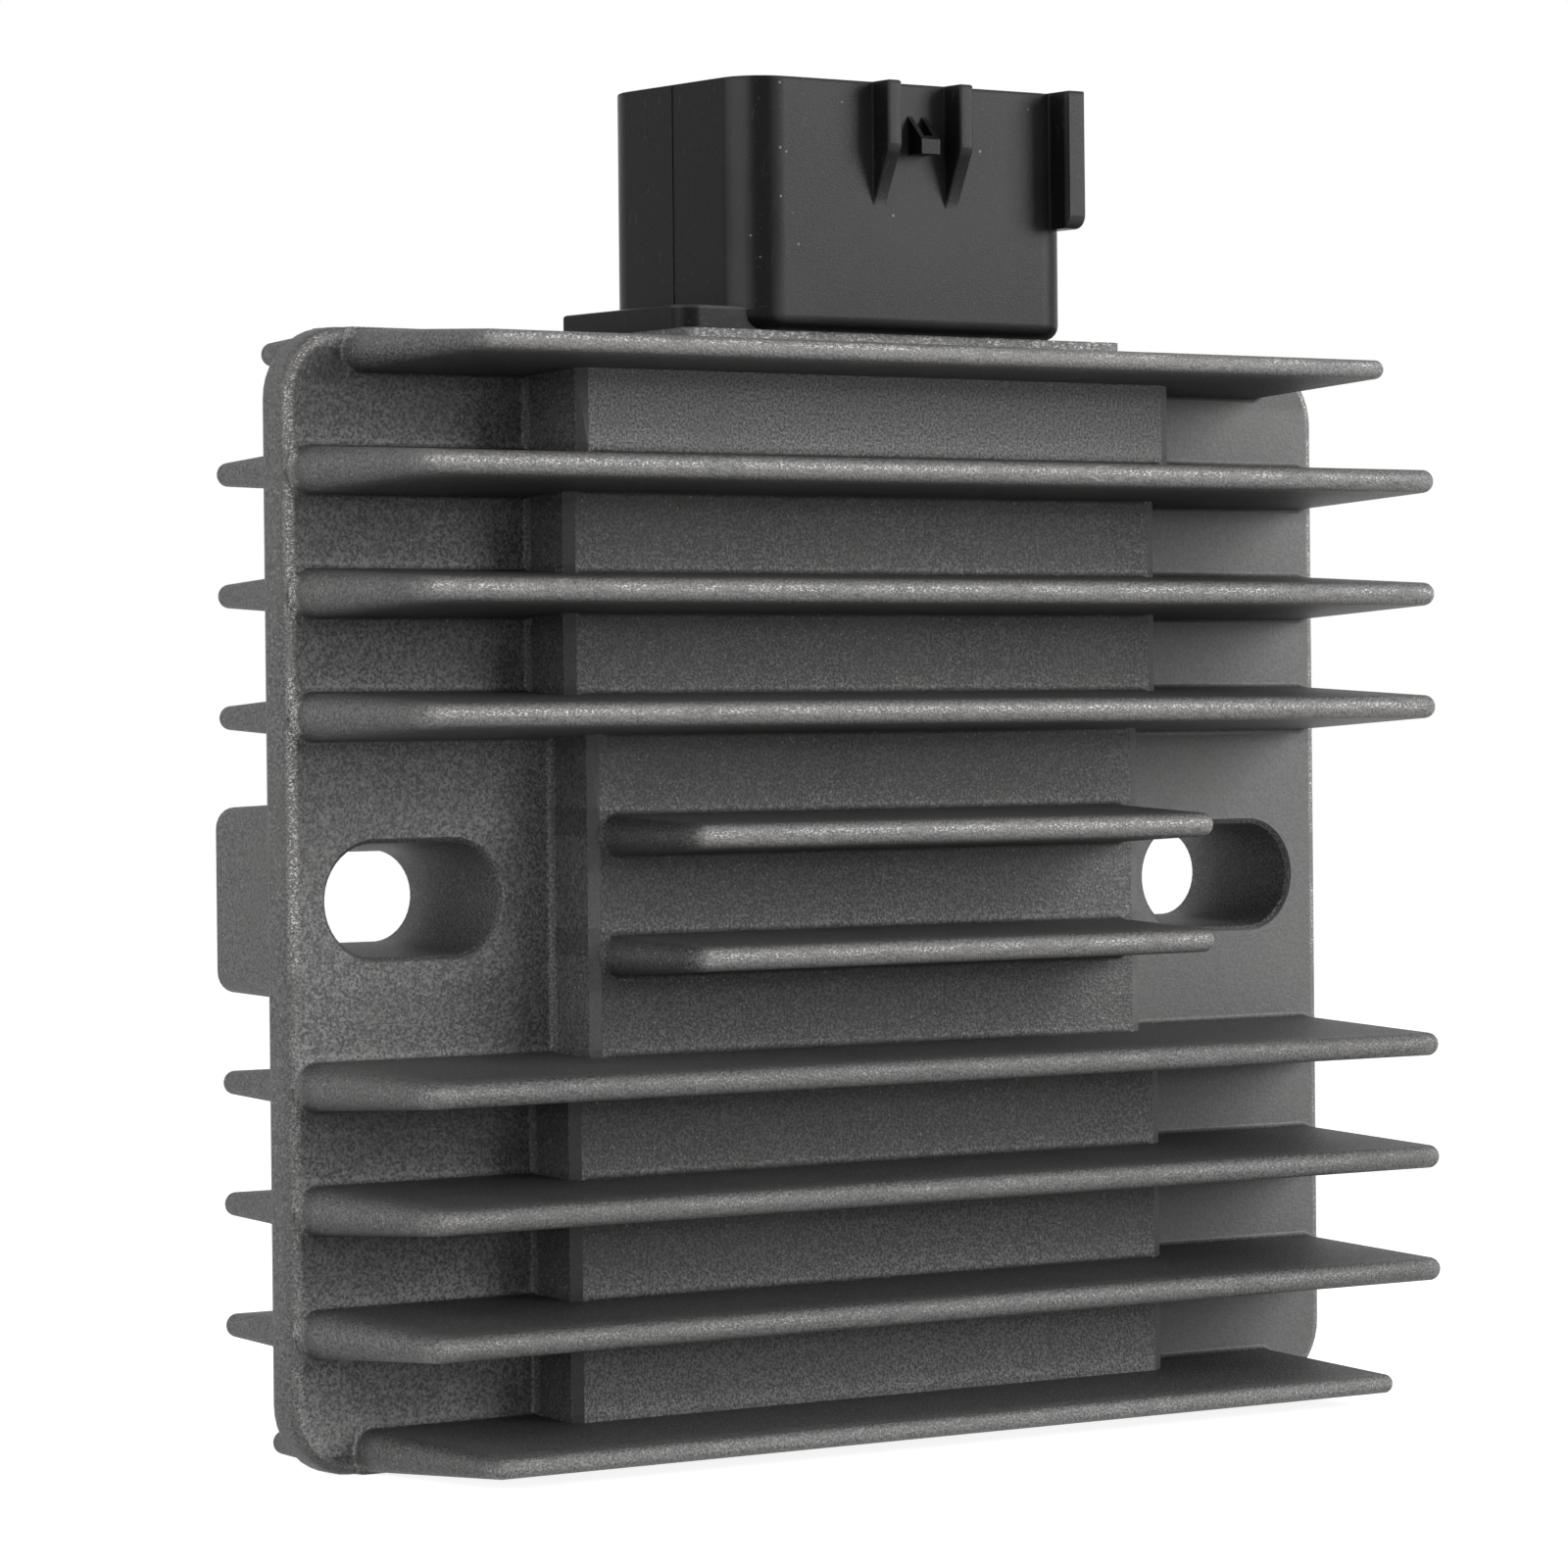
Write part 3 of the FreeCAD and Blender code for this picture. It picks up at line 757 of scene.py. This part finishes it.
def key_rib():
    """The keying rib at the right end of the socket's front."""
    high_x = socket_high.x - key_rib_inset
    low_z = socket_high.z - key_rib_height
    rib = block("key_rib", (high_x - key_rib_thickness, socket_low.y, low_z),
                (high_x, socket_front + sunk, socket_high.z))
    round_edges(
        rib, lambda middle, run: along(run.x) and middle.y < socket_front and at(middle.z, low_z),
        key_rib_round, segments=5,
    )
    return round_edges(rib, lambda middle, run: at(middle.x, high_x) and middle.y < socket_front,
                       soft_edge, segments=2)


def plug_socket():
    """The moulded socket: rounded shell, ear, neck, ribs and catch, hollow from the top."""
    half, back = socket_high.x, socket_high.y
    shell = block("plug_socket", (-half, socket_front, pad_top), (half, back, socket_high.z))
    round_edges(shell, lambda middle, run: along(run.z), socket_corner, segments=10)
    round_edges(shell, lambda middle, run: at(middle.z, pad_top), socket_bottom_round, segments=5)
    round_edges(shell, lambda middle, run: at(middle.z, socket_high.z), soft_edge, segments=2)
    ear_front = socket_front + ear_front_step
    ear_top = pad_top + ear_thickness
    ear = block("ear", (socket_low.x, ear_front, pad_top), (0, ear_front + ear_depth, ear_top))
    round_edges(
        ear, lambda middle, run: along(run.z) and middle.x < -half and at(middle.y, ear_front),
        ear_corner, segments=6,
    )
    round_edges(ear, lambda middle, run: at(middle.z, ear_top), soft_edge, segments=2)
    neck = block("neck", (-neck_half, neck_front, socket_low.z), (neck_half, neck_back, pad_top + sunk))
    pieces = [ear, neck, catch(), key_rib()] + [guide_rib(side) for side in (-1, 1)]
    for side in (-1, 1):
        face_x = side * half
        low_x, high_x = sorted((face_x - side * sunk, face_x + side * parting_height))
        pieces.append(block("parting_line", (low_x, parting_y - parting_width / 2, pad_top + sunk),
                            (high_x, parting_y + parting_width / 2, socket_high.z - soft_edge)))
    join_all(shell, pieces, "UNION")
    inner = half - socket_wall
    pocket = block("pocket", (-inner, socket_front + socket_wall, pad_top + socket_floor),
                   (inner, back - socket_wall, socket_high.z + sunk))
    round_edges(pocket, lambda middle, run: along(run.z), socket_corner - socket_wall, segments=6)
    join_all(shell, [pocket], "DIFFERENCE")
    smooth_shading(shell, socket_smooth_angle)
    return shell


def node(tree, kind, inputs=None, **settings):
    """Adds a shader node with its settings, and the values or links of its inputs."""
    made = tree.nodes.new(kind)
    for key, value in settings.items():
        setattr(made, key, value)
    for key, value in (inputs or {}).items():
        if isinstance(value, bpy.types.NodeSocket):
            tree.links.new(value, made.inputs[key])
        else:
            made.inputs[key].default_value = value
    return made


def maths(tree, operation, *values):
    """The result of one Math node."""
    return node(tree, "ShaderNodeMath", dict(enumerate(values)), operation=operation).outputs[0]


def product(tree, *values):
    """Several numbers multiplied together."""
    result = values[0]
    for value in values[1:]:
        result = maths(tree, "MULTIPLY", result, value)
    return result


def fade(tree, value, start, end, level=0.0):
    """0 where a value is at the start, 1 at the end, both from a level, and a smooth step between them."""
    inputs = {"Value": value, "From Min": level + start, "From Max": level + end}
    return node(tree, "ShaderNodeMapRange", inputs, interpolation_type="SMOOTHSTEP").outputs["Result"]


def band(tree, value, low, high, soft, level=0.0):
    """1 between two values, both from a level, with soft ends outside them."""
    rise = fade(tree, value, level + low - soft, level + low)
    return product(tree, rise, fade(tree, value, level + high + soft, level + high))


def between(tree, value, first, second, low=0.0, high=1.0):
    """A number that goes evenly from the first to the second as a value goes from low to high."""
    inputs = {"Value": value, "From Min": low, "From Max": high, "To Min": first, "To Max": second}
    return node(tree, "ShaderNodeMapRange", inputs).outputs["Result"]


def noise(tree, place, scale, detail, roughness=0.5):
    """The result of one Noise texture."""
    inputs = {"Vector": place, "Scale": scale, "Detail": detail, "Roughness": roughness}
    return node(tree, "ShaderNodeTexNoise", inputs).outputs[0]


def mixed(tree, factor, first, second):
    """One colour turning into another by a factor."""
    inputs = {0: factor}
    for place, value in ((6, first), (7, second)):
        inputs[place] = value if isinstance(value, bpy.types.NodeSocket) else (*value, 1)
    return node(tree, "ShaderNodeMix", inputs, data_type="RGBA").outputs[2]


def new_group(name, inputs, outputs):
    """An empty node group with number inputs, given by name and default, and number outputs."""
    tree = bpy.data.node_groups.new(name, "ShaderNodeTree")
    for label, value in inputs.items():
        socket = tree.interface.new_socket(label, in_out="INPUT", socket_type="NodeSocketFloat")
        socket.default_value = value
    for label in outputs:
        tree.interface.new_socket(label, in_out="OUTPUT", socket_type="NodeSocketFloat")
    entry = tree.nodes.new("NodeGroupInput").outputs
    leave = tree.nodes.new("NodeGroupOutput").inputs
    return tree, entry, leave


def object_place(tree, scale=(1, 1, 1)):
    """Object coordinates, stretched by a scale."""
    place = node(tree, "ShaderNodeTexCoord").outputs["Object"]
    return node(tree, "ShaderNodeMapping", {"Vector": place, "Scale": scale}).outputs["Vector"]


def per_metre(tree, size_mm):
    """A texture scale from the size of its features in millimetres."""
    return maths(tree, "DIVIDE", 1 / MM, size_mm)


def grey(tone):
    """A colour of three equal parts."""
    return (tone, tone, tone)


def grain_group():
    """Fine grain and sparse bright specks: the skin of a casting with its painted sparkle, and dust on
    plastic.
    """
    inputs = {"Grain mm": 0.25, "Speck mm": 0.6, "Speck share": 0.1}
    tree, entry, leave = new_group("fine_grain", inputs, ("Grain", "Specks", "Patches"))
    place = object_place(tree)
    grain = noise(tree, place, per_metre(tree, entry["Grain mm"]), detail=2.0, roughness=0.7)
    tree.links.new(fade(tree, grain, *grain_contrast), leave["Grain"])
    cells = node(tree, "ShaderNodeTexVoronoi", {"Vector": place, "Scale": per_metre(tree, entry["Speck mm"])})
    near = fade(tree, cells.outputs["Distance"], *speck_edge)
    pick = node(tree, "ShaderNodeSeparateColor", {0: cells.outputs["Color"]}).outputs[0]
    chosen = maths(tree, "LESS_THAN", pick, entry["Speck share"])
    tree.links.new(product(tree, near, chosen), leave["Specks"])
    broad = noise(tree, place, patches_per_metre, detail=2.0)
    tree.links.new(fade(tree, broad, *patch_contrast), leave["Patches"])
    return tree


def wear_and_glints_group():
    """Breaks a mask of edges up into rubbed stretches, and puts lines of painted glints where a crest is:
    highlights painted into the colour.
    """
    inputs = {"Edge": 1.0, "Crest": 0.0, "Amount": 0.8}
    tree, entry, leave = new_group("rubbed_edges_and_glints", inputs, ("Rubbed", "Bright", "Nicks"))
    rubs = noise(tree, object_place(tree, rub_stretch), rubs_per_metre, detail=3.0, roughness=0.7)
    broken = between(tree, rubs, rub_least, 1.0, *rub_contrast)
    tree.links.new(product(tree, entry["Edge"], entry["Amount"], broken), leave["Rubbed"])
    glints = noise(tree, object_place(tree, glint_stretch), glints_per_metre, detail=1.0, roughness=0.7)
    lines = noise(tree, object_place(tree), glint_lines_per_metre, detail=2.0)
    bright = product(tree, fade(tree, glints, *glint_contrast), fade(tree, lines, *glint_line_contrast))
    tree.links.new(product(tree, bright, entry["Crest"], entry["Amount"]), leave["Bright"])
    dents = noise(tree, object_place(tree, dent_stretch), dents_per_metre, detail=1.0, roughness=0.7)
    tree.links.new(fade(tree, dents, *dent_contrast), leave["Nicks"])
    return tree


def scratch_group():
    """Faint scratches across a surface: long thin stretches of a noise, laid in two directions."""
    tree, entry, leave = new_group("faint_scratches", {"Size mm": 6.0}, ("Scratches",))
    found = []
    for turn in scratch_turns:
        place = node(tree, "ShaderNodeTexCoord").outputs["Object"]
        turned = node(tree, "ShaderNodeMapping", {"Vector": place, "Rotation": (turn, turn / 2, turn)})
        thin = node(tree, "ShaderNodeMapping", {"Vector": turned.outputs[0], "Scale": scratch_stretch})
        marks = noise(tree, thin.outputs[0], per_metre(tree, entry["Size mm"]), detail=1.0)
        found.append(fade(tree, marks, *scratch_contrast))
    tree.links.new(maths(tree, "MAXIMUM", *found), leave["Scratches"])
    return tree


fine_grain = grain_group()
rubbed_edges_and_glints = wear_and_glints_group()
faint_scratches = scratch_group()


def use_group(tree, group, **values):
    """Places a node group in a material, with its own values by input name (spaces as underscores)."""
    inputs = {key.replace("_", " "): value for key, value in values.items()}
    return node(tree, "ShaderNodeGroup", inputs, node_tree=group).outputs


def new_material(name, metallic=0.0, specular=0.5, coat=0.0):
    """A material with one Principled shader, returned with its node tree."""
    material = bpy.data.materials.new(name)
    material.use_nodes = True
    tree = material.node_tree
    shader = tree.nodes["Principled BSDF"]
    shader.inputs["Metallic"].default_value = metallic
    shader.inputs["Specular IOR Level"].default_value = specular
    shader.inputs["Coat Weight"].default_value = coat
    return material, tree, shader


def dress(tree, shader, skin, rough, height, bump_mm, strength=1.0):
    """Gives a shader its colour, its roughness, and a bump from a height."""
    bump = node(tree, "ShaderNodeBump", {"Height": height, "Distance": bump_mm * MM, "Strength": strength})
    for label, value in (("Base Color", skin), ("Roughness", rough), ("Normal", bump.outputs[0])):
        tree.links.new(value, shader.inputs[label])


def place_on_part(tree):
    """The three Object coordinates in millimetres."""
    place = node(tree, "ShaderNodeTexCoord").outputs["Object"]
    parts = node(tree, "ShaderNodeSeparateXYZ", {0: place}).outputs
    return [product(tree, parts[axis], 1 / MM) for axis in range(3)]


def inside_outline(tree, x, z):
    """How far a point lies inside the plate's rounded outline, in millimetres."""
    over = []
    for value, half in ((x, plate_half_width), (z, plate_half_height)):
        over.append(maths(tree, "SUBTRACT", maths(tree, "ABSOLUTE", value), (half - plate_corner) / MM))
    squares = [maths(tree, "POWER", maths(tree, "MAXIMUM", value, 0.0), 2.0) for value in over]
    outer = maths(tree, "SQRT", maths(tree, "ADD", *squares))
    inner = maths(tree, "MINIMUM", maths(tree, "MAXIMUM", *over), 0.0)
    return maths(tree, "SUBTRACT", plate_corner / MM, maths(tree, "ADD", outer, inner))


def casting_zones(tree, x, y, z):
    """Masks of the casting's zones, by name, from the three coordinates in millimetres."""
    zones = {}
    pitch, tip_y, plate_y = fin_pitch / MM, fin_tip_y / MM, plate_front / MM
    tall = maths(tree, "ABSOLUTE", z)
    at_waist = maths(tree, "LESS_THAN", tall, waist_top / MM)
    half_span = between(tree, at_waist, wide_half / MM, waist_half / MM)
    out = maths(tree, "SUBTRACT", maths(tree, "ABSOLUTE", x), half_span)
    beside = maths(tree, "GREATER_THAN", out, 0.0)
    within = maths(tree, "LESS_THAN", out, 0.0)
    in_top_bay = maths(tree, "GREATER_THAN", z, fin_z(1) / MM)
    front = between(tree, in_top_bay, raised_y / MM, top_bay_y / MM)
    behind_front = maths(tree, "SUBTRACT", y, front)
    on_face = maths(tree, "LESS_THAN", out, -shoulder_width / MM)

    raised = product(tree, band(tree, behind_front, *on_surface), on_face)
    # Painted light: the top bay's raised face is painted lighter
    zones["top bay"] = product(tree, raised, in_top_bay)
    # Painted shade and highlight: the sloped shoulders are painted darker, and the waist's shoulders lighter
    # towards their top, for how the light falls on them
    sloped = band(tree, behind_front, shoulder_margin, shoulder_drop / MM - shoulder_margin, shoulder_margin)
    zones["shoulder"] = product(tree, sloped, within, maths(tree, "SUBTRACT", 1.0, on_face))
    zones["waist edge"] = product(tree, zones["shoulder"], at_waist, fade(tree, z, *painted_waist_highlight))
    on_plate = product(tree, band(tree, y, *on_surface, level=plate_y), beside)
    # Painted light: the plate left of the raised middle is painted lighter
    zones["left plate"] = product(tree, on_plate, maths(tree, "LESS_THAN", x, 0.0))
    zones["smooth end"] = product(tree, on_plate, fade(tree, x, *smooth_end_start, level=wide_half / MM))
    # Painted light: the plate is painted lighter towards its far right end
    zones["far end"] = product(tree, on_plate, fade(tree, x, wide_half / MM, plate_half_width / MM))
    surfaces = maths(tree, "MAXIMUM", raised, zones["left plate"])
    # Painted light: the raised faces and left plate of the lowest bays are painted lighter
    bottom_bay = fade(tree, z, fin_z(fin_rows - 3) / MM, fin_z(fin_rows - 2) / MM - pitch / 2)
    zones["bottom bay"] = product(tree, bottom_bay, surfaces)
    zones["low rows"] = fade(tree, z, 0.0, waist_bottom / MM)

    # The rows lie half a pitch off whole pitches, so this is the height above the nearest fin's middle
    row_share = maths(tree, "FRACT", maths(tree, "DIVIDE", z, pitch))
    above = product(tree, maths(tree, "SUBTRACT", row_share, 0.5), pitch)
    is_above = maths(tree, "GREATER_THAN", above, 0.0)
    is_below = maths(tree, "SUBTRACT", 1.0, is_above)
    has_fins = maths(tree, "MAXIMUM", maths(tree, "GREATER_THAN", tall, pitch), within)
    behind_tip = fade(tree, y, *behind_fin_tip, level=tip_y)
    # Painted shade: darker under each fin and along each fin's top, where the fins shade each other
    zones["under fin"] = product(tree, fade(tree, above, *shade_under_fin), behind_tip,
                                 fade(tree, y, *shade_to_plate, level=plate_y), has_fins, is_below)
    zones["fin top"] = product(tree, fade(tree, above, *fin_top_reach), behind_tip, is_above,
                               fade(tree, y, *fin_top_to_plate, level=plate_y))
    foot = between(tree, on_plate, (short_fin_root_half + foot_round) / MM, (fin_root_half + foot_round) / MM)
    from_foot = maths(tree, "SUBTRACT", above, foot)
    # Painted highlight: a lighter strip just above each fin's foot, standing for the fillet catching the
    # light
    zones["foot glow"] = product(tree, fade(tree, from_foot, *painted_foot_highlight), surfaces, has_fins, is_above)
    # The line along the fins' feet: partly a die mark, partly a painted highlight of the fillets
    zones["foot line"] = product(tree, band(tree, from_foot, *foot_line), surfaces, has_fins)
    zones["tip"] = fade(tree, y, *tip_rub, level=tip_y)
    zones["crest"] = product(tree, zones["tip"], band(tree, above, *tip_crest))

    inward = inside_outline(tree, x, z)
    zones["rim"] = product(tree, band(tree, inward, *rim_inward), band(tree, y, *rim_depth, level=plate_y))
    # Painted light: the fins' ends along the plate's outline are painted lighter, for the light from the left
    zones["fin end"] = product(tree, fade(tree, inward, *fin_end_inward),
                               fade(tree, y, *fin_end_off_plate, level=plate_y))
    zones["pad"] = product(tree, maths(tree, "GREATER_THAN", z, fin_z(0) / MM + pad_over_fin),
                           fade(tree, y, *pad_front_rub, level=pad_front_y / MM))
    return zones


def cast_metal():
    """Dark die cast skin with a fine painted sparkle, rubbed along the fin tips and the plate's rim, with
    painted glints on the crests and painted light and shade by zone.
    """
    material, tree, shader = new_material("dark_die_casting", metallic=0.3)
    zones = casting_zones(tree, *place_on_part(tree))
    grain = use_group(tree, fine_grain, Grain_mm=0.2, Speck_mm=0.36, Speck_share=0.2)
    edge = maths(tree, "MAXIMUM", zones["tip"], product(tree, zones["rim"], rim_wear))
    edge = maths(tree, "MAXIMUM", edge, product(tree, zones["pad"], pad_wear))
    # Painted glints go on the fin crests, the rim and the pad's front, as highlights painted into the colour;
    # they and the rubbing both fade towards the low rows
    crest = maths(tree, "MAXIMUM", zones["crest"], zones["rim"])
    crest = maths(tree, "MAXIMUM", crest, product(tree, zones["pad"], pad_painted_glints))
    amount = between(tree, zones["low rows"], *wear_top_to_low)
    wear = use_group(tree, rubbed_edges_and_glints, Edge=edge, Crest=crest, Amount=amount)

    smooth = product(tree, maths(tree, "MAXIMUM", zones["smooth end"], zones["shoulder"]), smooth_share)
    tone = between(tree, smooth, between(tree, grain["Grain"], *grain_tones), smooth_tone)
    # Painted light and shade by zone: the skin's tone is multiplied by each zone's gain
    for zone, gain in painted_light_and_shade_gains.items():
        tone = product(tree, tone, between(tree, zones[zone], 1.0, gain))
    skin = mixed(tree, tone, grey(0.0), metal_tint)
    skin = mixed(tree, product(tree, grain["Patches"], patch_share), skin, patch_tone)
    # Painted sparkle: bright specks that stand for glints off the blasted skin, fewer where it is smooth
    sparkle = maths(tree, "SUBTRACT", sparkle_share, product(tree, smooth, sparkle_lost_where_smooth))
    skin = mixed(tree, product(tree, grain["Specks"], sparkle), skin, sparkle_tone)
    # A broken light line painted along the fins' feet: partly a die mark, partly a painted highlight where
    # the fillets meet the faces
    line_share = between(tree, zones["left plate"], *foot_line_shares)
    broken = product(tree, zones["foot line"], grain["Grain"], line_share)
    skin = mixed(tree, broken, skin, foot_line_tone)
    worn = mixed(tree, grain["Grain"], worn_dark, worn_light)
    skin = mixed(tree, wear["Rubbed"], skin, worn)
    # Painted highlight: the glints turn the skin bright
    skin = mixed(tree, wear["Bright"], skin, painted_glint_tone)
    rough = between(tree, wear["Rubbed"], *roughness_plain_to_worn)
    nicks = product(tree, wear["Nicks"], zones["tip"], nick_depth)
    height = maths(tree, "SUBTRACT", grain["Grain"], nicks)
    strength = maths(tree, "SUBTRACT", 1.0, smooth)
    dress(tree, shader, skin, rough, height, casting_bump_mm, strength)
    return material


def black_plastic():
    """Matt black moulded plastic with faint scratches and a little dust, a painted sheen on its front and
    ribs, and a painted highlight down its front corners.
    """
    material, tree, shader = new_material("matt_black_plastic", specular=0.1)
    grain = use_group(tree, fine_grain, Grain_mm=0.12, Speck_mm=0.5, Speck_share=0.008)
    scratches = use_group(tree, faint_scratches, Size_mm=7.0)
    x, y, z = place_on_part(tree)
    front = socket_front / MM
    corner_start = front + socket_corner / MM
    # Painted sheen: the front face and ribs are made paler, standing for the key lamp's reflection on them
    uneven = between(tree, grain["Patches"], painted_sheen_least, 1.0)
    on_front = band(tree, y, *painted_sheen_on_front, level=front)
    painted_sheen = product(tree, maths(tree, "MAXIMUM", on_front, fade(tree, y, *painted_sheen_on_ribs, level=front)), uneven)
    # Painted highlight down the socket's rounded front corners, standing for the left lamp's reflection
    side_start = (socket_high.x - socket_corner) / MM
    corner_highlight = product(tree, band(tree, y, *corner_highlight_band, level=corner_start),
                     maths(tree, "GREATER_THAN", maths(tree, "ABSOLUTE", x), side_start),
                     maths(tree, "GREATER_THAN", z, pad_top / MM + corner_highlight_over_pad))
    skin = mixed(tree, grain["Grain"], grey(plastic_dark), grey(plastic_light))
    skin = mixed(tree, painted_sheen, skin, grey(painted_sheen_tone))
    skin = mixed(tree, product(tree, corner_highlight, uneven, corner_highlight_share), skin, grey(corner_highlight_tone))
    skin = mixed(tree, product(tree, scratches["Scratches"], scratch_share), skin, grey(scratch_tone))
    skin = mixed(tree, product(tree, grain["Specks"], dust_share), skin, grey(dust_tone))
    on_rim = fade(tree, z, *dull_rim, level=socket_high.z / MM)
    rough = maths(tree, "ADD", between(tree, grain["Patches"], *plastic_roughness),
                  product(tree, on_rim, dull_rim_roughness))
    dress(tree, shader, skin, rough, grain["Grain"], plastic_bump_mm)
    return material


def plain_finish(name, dark, light, roughness, grain_mm, bump_mm, metallic=0.0, coat=0.0):
    """A finish of two near tones by grain and patches, with a light bump."""
    material, tree, shader = new_material(name, metallic=metallic, coat=coat)
    grain = use_group(tree, fine_grain, Grain_mm=grain_mm)
    share = product(tree, maths(tree, "ADD", grain["Grain"], grain["Patches"]), 0.5)
    rough = between(tree, share, roughness - roughness_play, roughness + roughness_play)
    dress(tree, shader, mixed(tree, share, dark, light), rough, grain["Grain"], bump_mm)
    return material


def inner_finishes():
    """The finishes of the pieces in the socket and the box, by the start of their nodes' names."""
    package = plain_finish("black_package", grey(0.018), grey(0.032),
                           roughness=0.55, grain_mm=0.2, bump_mm=0.01)
    return {
        "terminal": plain_finish("tinned_brass", (0.50, 0.49, 0.46), (0.68, 0.67, 0.63),
                                 roughness=0.32, grain_mm=0.3, bump_mm=0.004, metallic=0.95),
        "potting_resin": plain_finish("black_resin", grey(0.012), grey(0.022),
                                      roughness=0.3, grain_mm=2.5, bump_mm=0.05, coat=0.3),
        "insulating_sheet": plain_finish("insulating_sheet", (0.40, 0.42, 0.45), (0.50, 0.52, 0.55),
                                         roughness=0.7, grain_mm=0.5, bump_mm=0.01),
        "circuit_board": plain_finish("varnished_board", (0.03, 0.13, 0.06), (0.05, 0.19, 0.09),
                                      roughness=0.35, grain_mm=0.8, bump_mm=0.005, coat=0.4),
        "thyristor": package, "rectifier_diode": package, "control_chip": package, "zener_diode": package,
        "gate_resistor": plain_finish("fired_chip", grey(0.08), grey(0.14),
                                      roughness=0.6, grain_mm=0.2, bump_mm=0.01),
        "sense_capacitor": plain_finish("bare_can", grey(0.50), grey(0.62),
                                        roughness=0.35, grain_mm=0.3, bump_mm=0.004, metallic=0.9),
        "filter_capacitor": plain_finish("dipped_case", (0.40, 0.09, 0.04), (0.55, 0.14, 0.07),
                                         roughness=0.4, grain_mm=1.0, bump_mm=0.02),
    }


def finish_with(piece, material):
    """Gives a piece one material all over."""
    if not piece.material_slots:
        piece.data.materials.append(material)
    for slot in piece.material_slots:
        slot.material = material


def finish_inner_nodes():
    """Gives every CAD node that stays its finish."""
    for start, material in inner_finishes().items():
        for name, cad_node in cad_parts.items():
            if name.startswith(start):
                finish_with(cad_node, material)


def white_to_eye(tree, seen, other):
    """Mixes two shaders: the first for rays from the eye, gloss and glass, the second for light."""
    path = node(tree, "ShaderNodeLightPath").outputs
    rays = maths(tree, "MAXIMUM", path["Is Camera Ray"], path["Is Glossy Ray"])
    rays = maths(tree, "MAXIMUM", rays, path["Is Transmission Ray"])
    return node(tree, "ShaderNodeMixShader", {0: rays, 1: other, 2: seen}).outputs[0]


def studio_world():
    """A world that looks white and lights the part softly."""
    world = bpy.data.worlds.new("studio")
    bpy.context.scene.world = world
    world.use_nodes = True
    tree = world.node_tree
    tree.nodes.clear()
    seen = node(tree, "ShaderNodeBackground", {"Color": (1, 1, 1, 1), "Strength": 1.0}).outputs[0]
    light = node(tree, "ShaderNodeBackground", {"Color": (1, 1, 1, 1), "Strength": world_light}).outputs[0]
    node(tree, "ShaderNodeOutputWorld", {"Surface": white_to_eye(tree, seen, light)})


def studio_floor():
    """A plain pale floor under the part, white to the eye, with the part's soft shadow on it."""
    start_clean()
    bpy.ops.mesh.primitive_circle_add(vertices=64, radius=floor_radius, fill_type="NGON",
                                      location=(0, 0, casting_low.z))
    floor = bpy.context.object
    floor.name = "studio_floor"
    bpy.ops.object.transform_apply()
    material = bpy.data.materials.new("pale_floor")
    material.use_nodes = True
    tree = material.node_tree
    tree.nodes.clear()
    paint = node(tree, "ShaderNodeBsdfDiffuse", {"Color": (*grey(floor_paint), 1)}).outputs[0]
    glow = node(tree, "ShaderNodeEmission", {"Color": (1, 1, 1, 1), "Strength": floor_glow}).outputs[0]
    lit = node(tree, "ShaderNodeAddShader", {0: paint, 1: glow}).outputs[0]
    node(tree, "ShaderNodeOutputMaterial", {"Surface": white_to_eye(tree, lit, paint)})
    finish_with(floor, material)


casting = finned_casting()
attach(casting, "root")
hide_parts("heatsink_casting")
finish_with(casting, cast_metal())

socket = plug_socket()
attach(socket, "root")
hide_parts("connector_housing")
finish_with(socket, black_plastic())

finish_inner_nodes()
studio_floor()
studio_world()
look_from_camera()
soft_lamp("key", key_place, (0, 0, 0), key_size, key_watts)
soft_lamp("fill", fill_place, (0, 0, 0), fill_size, fill_watts)
bpy.context.scene.view_settings.view_transform = "Standard"
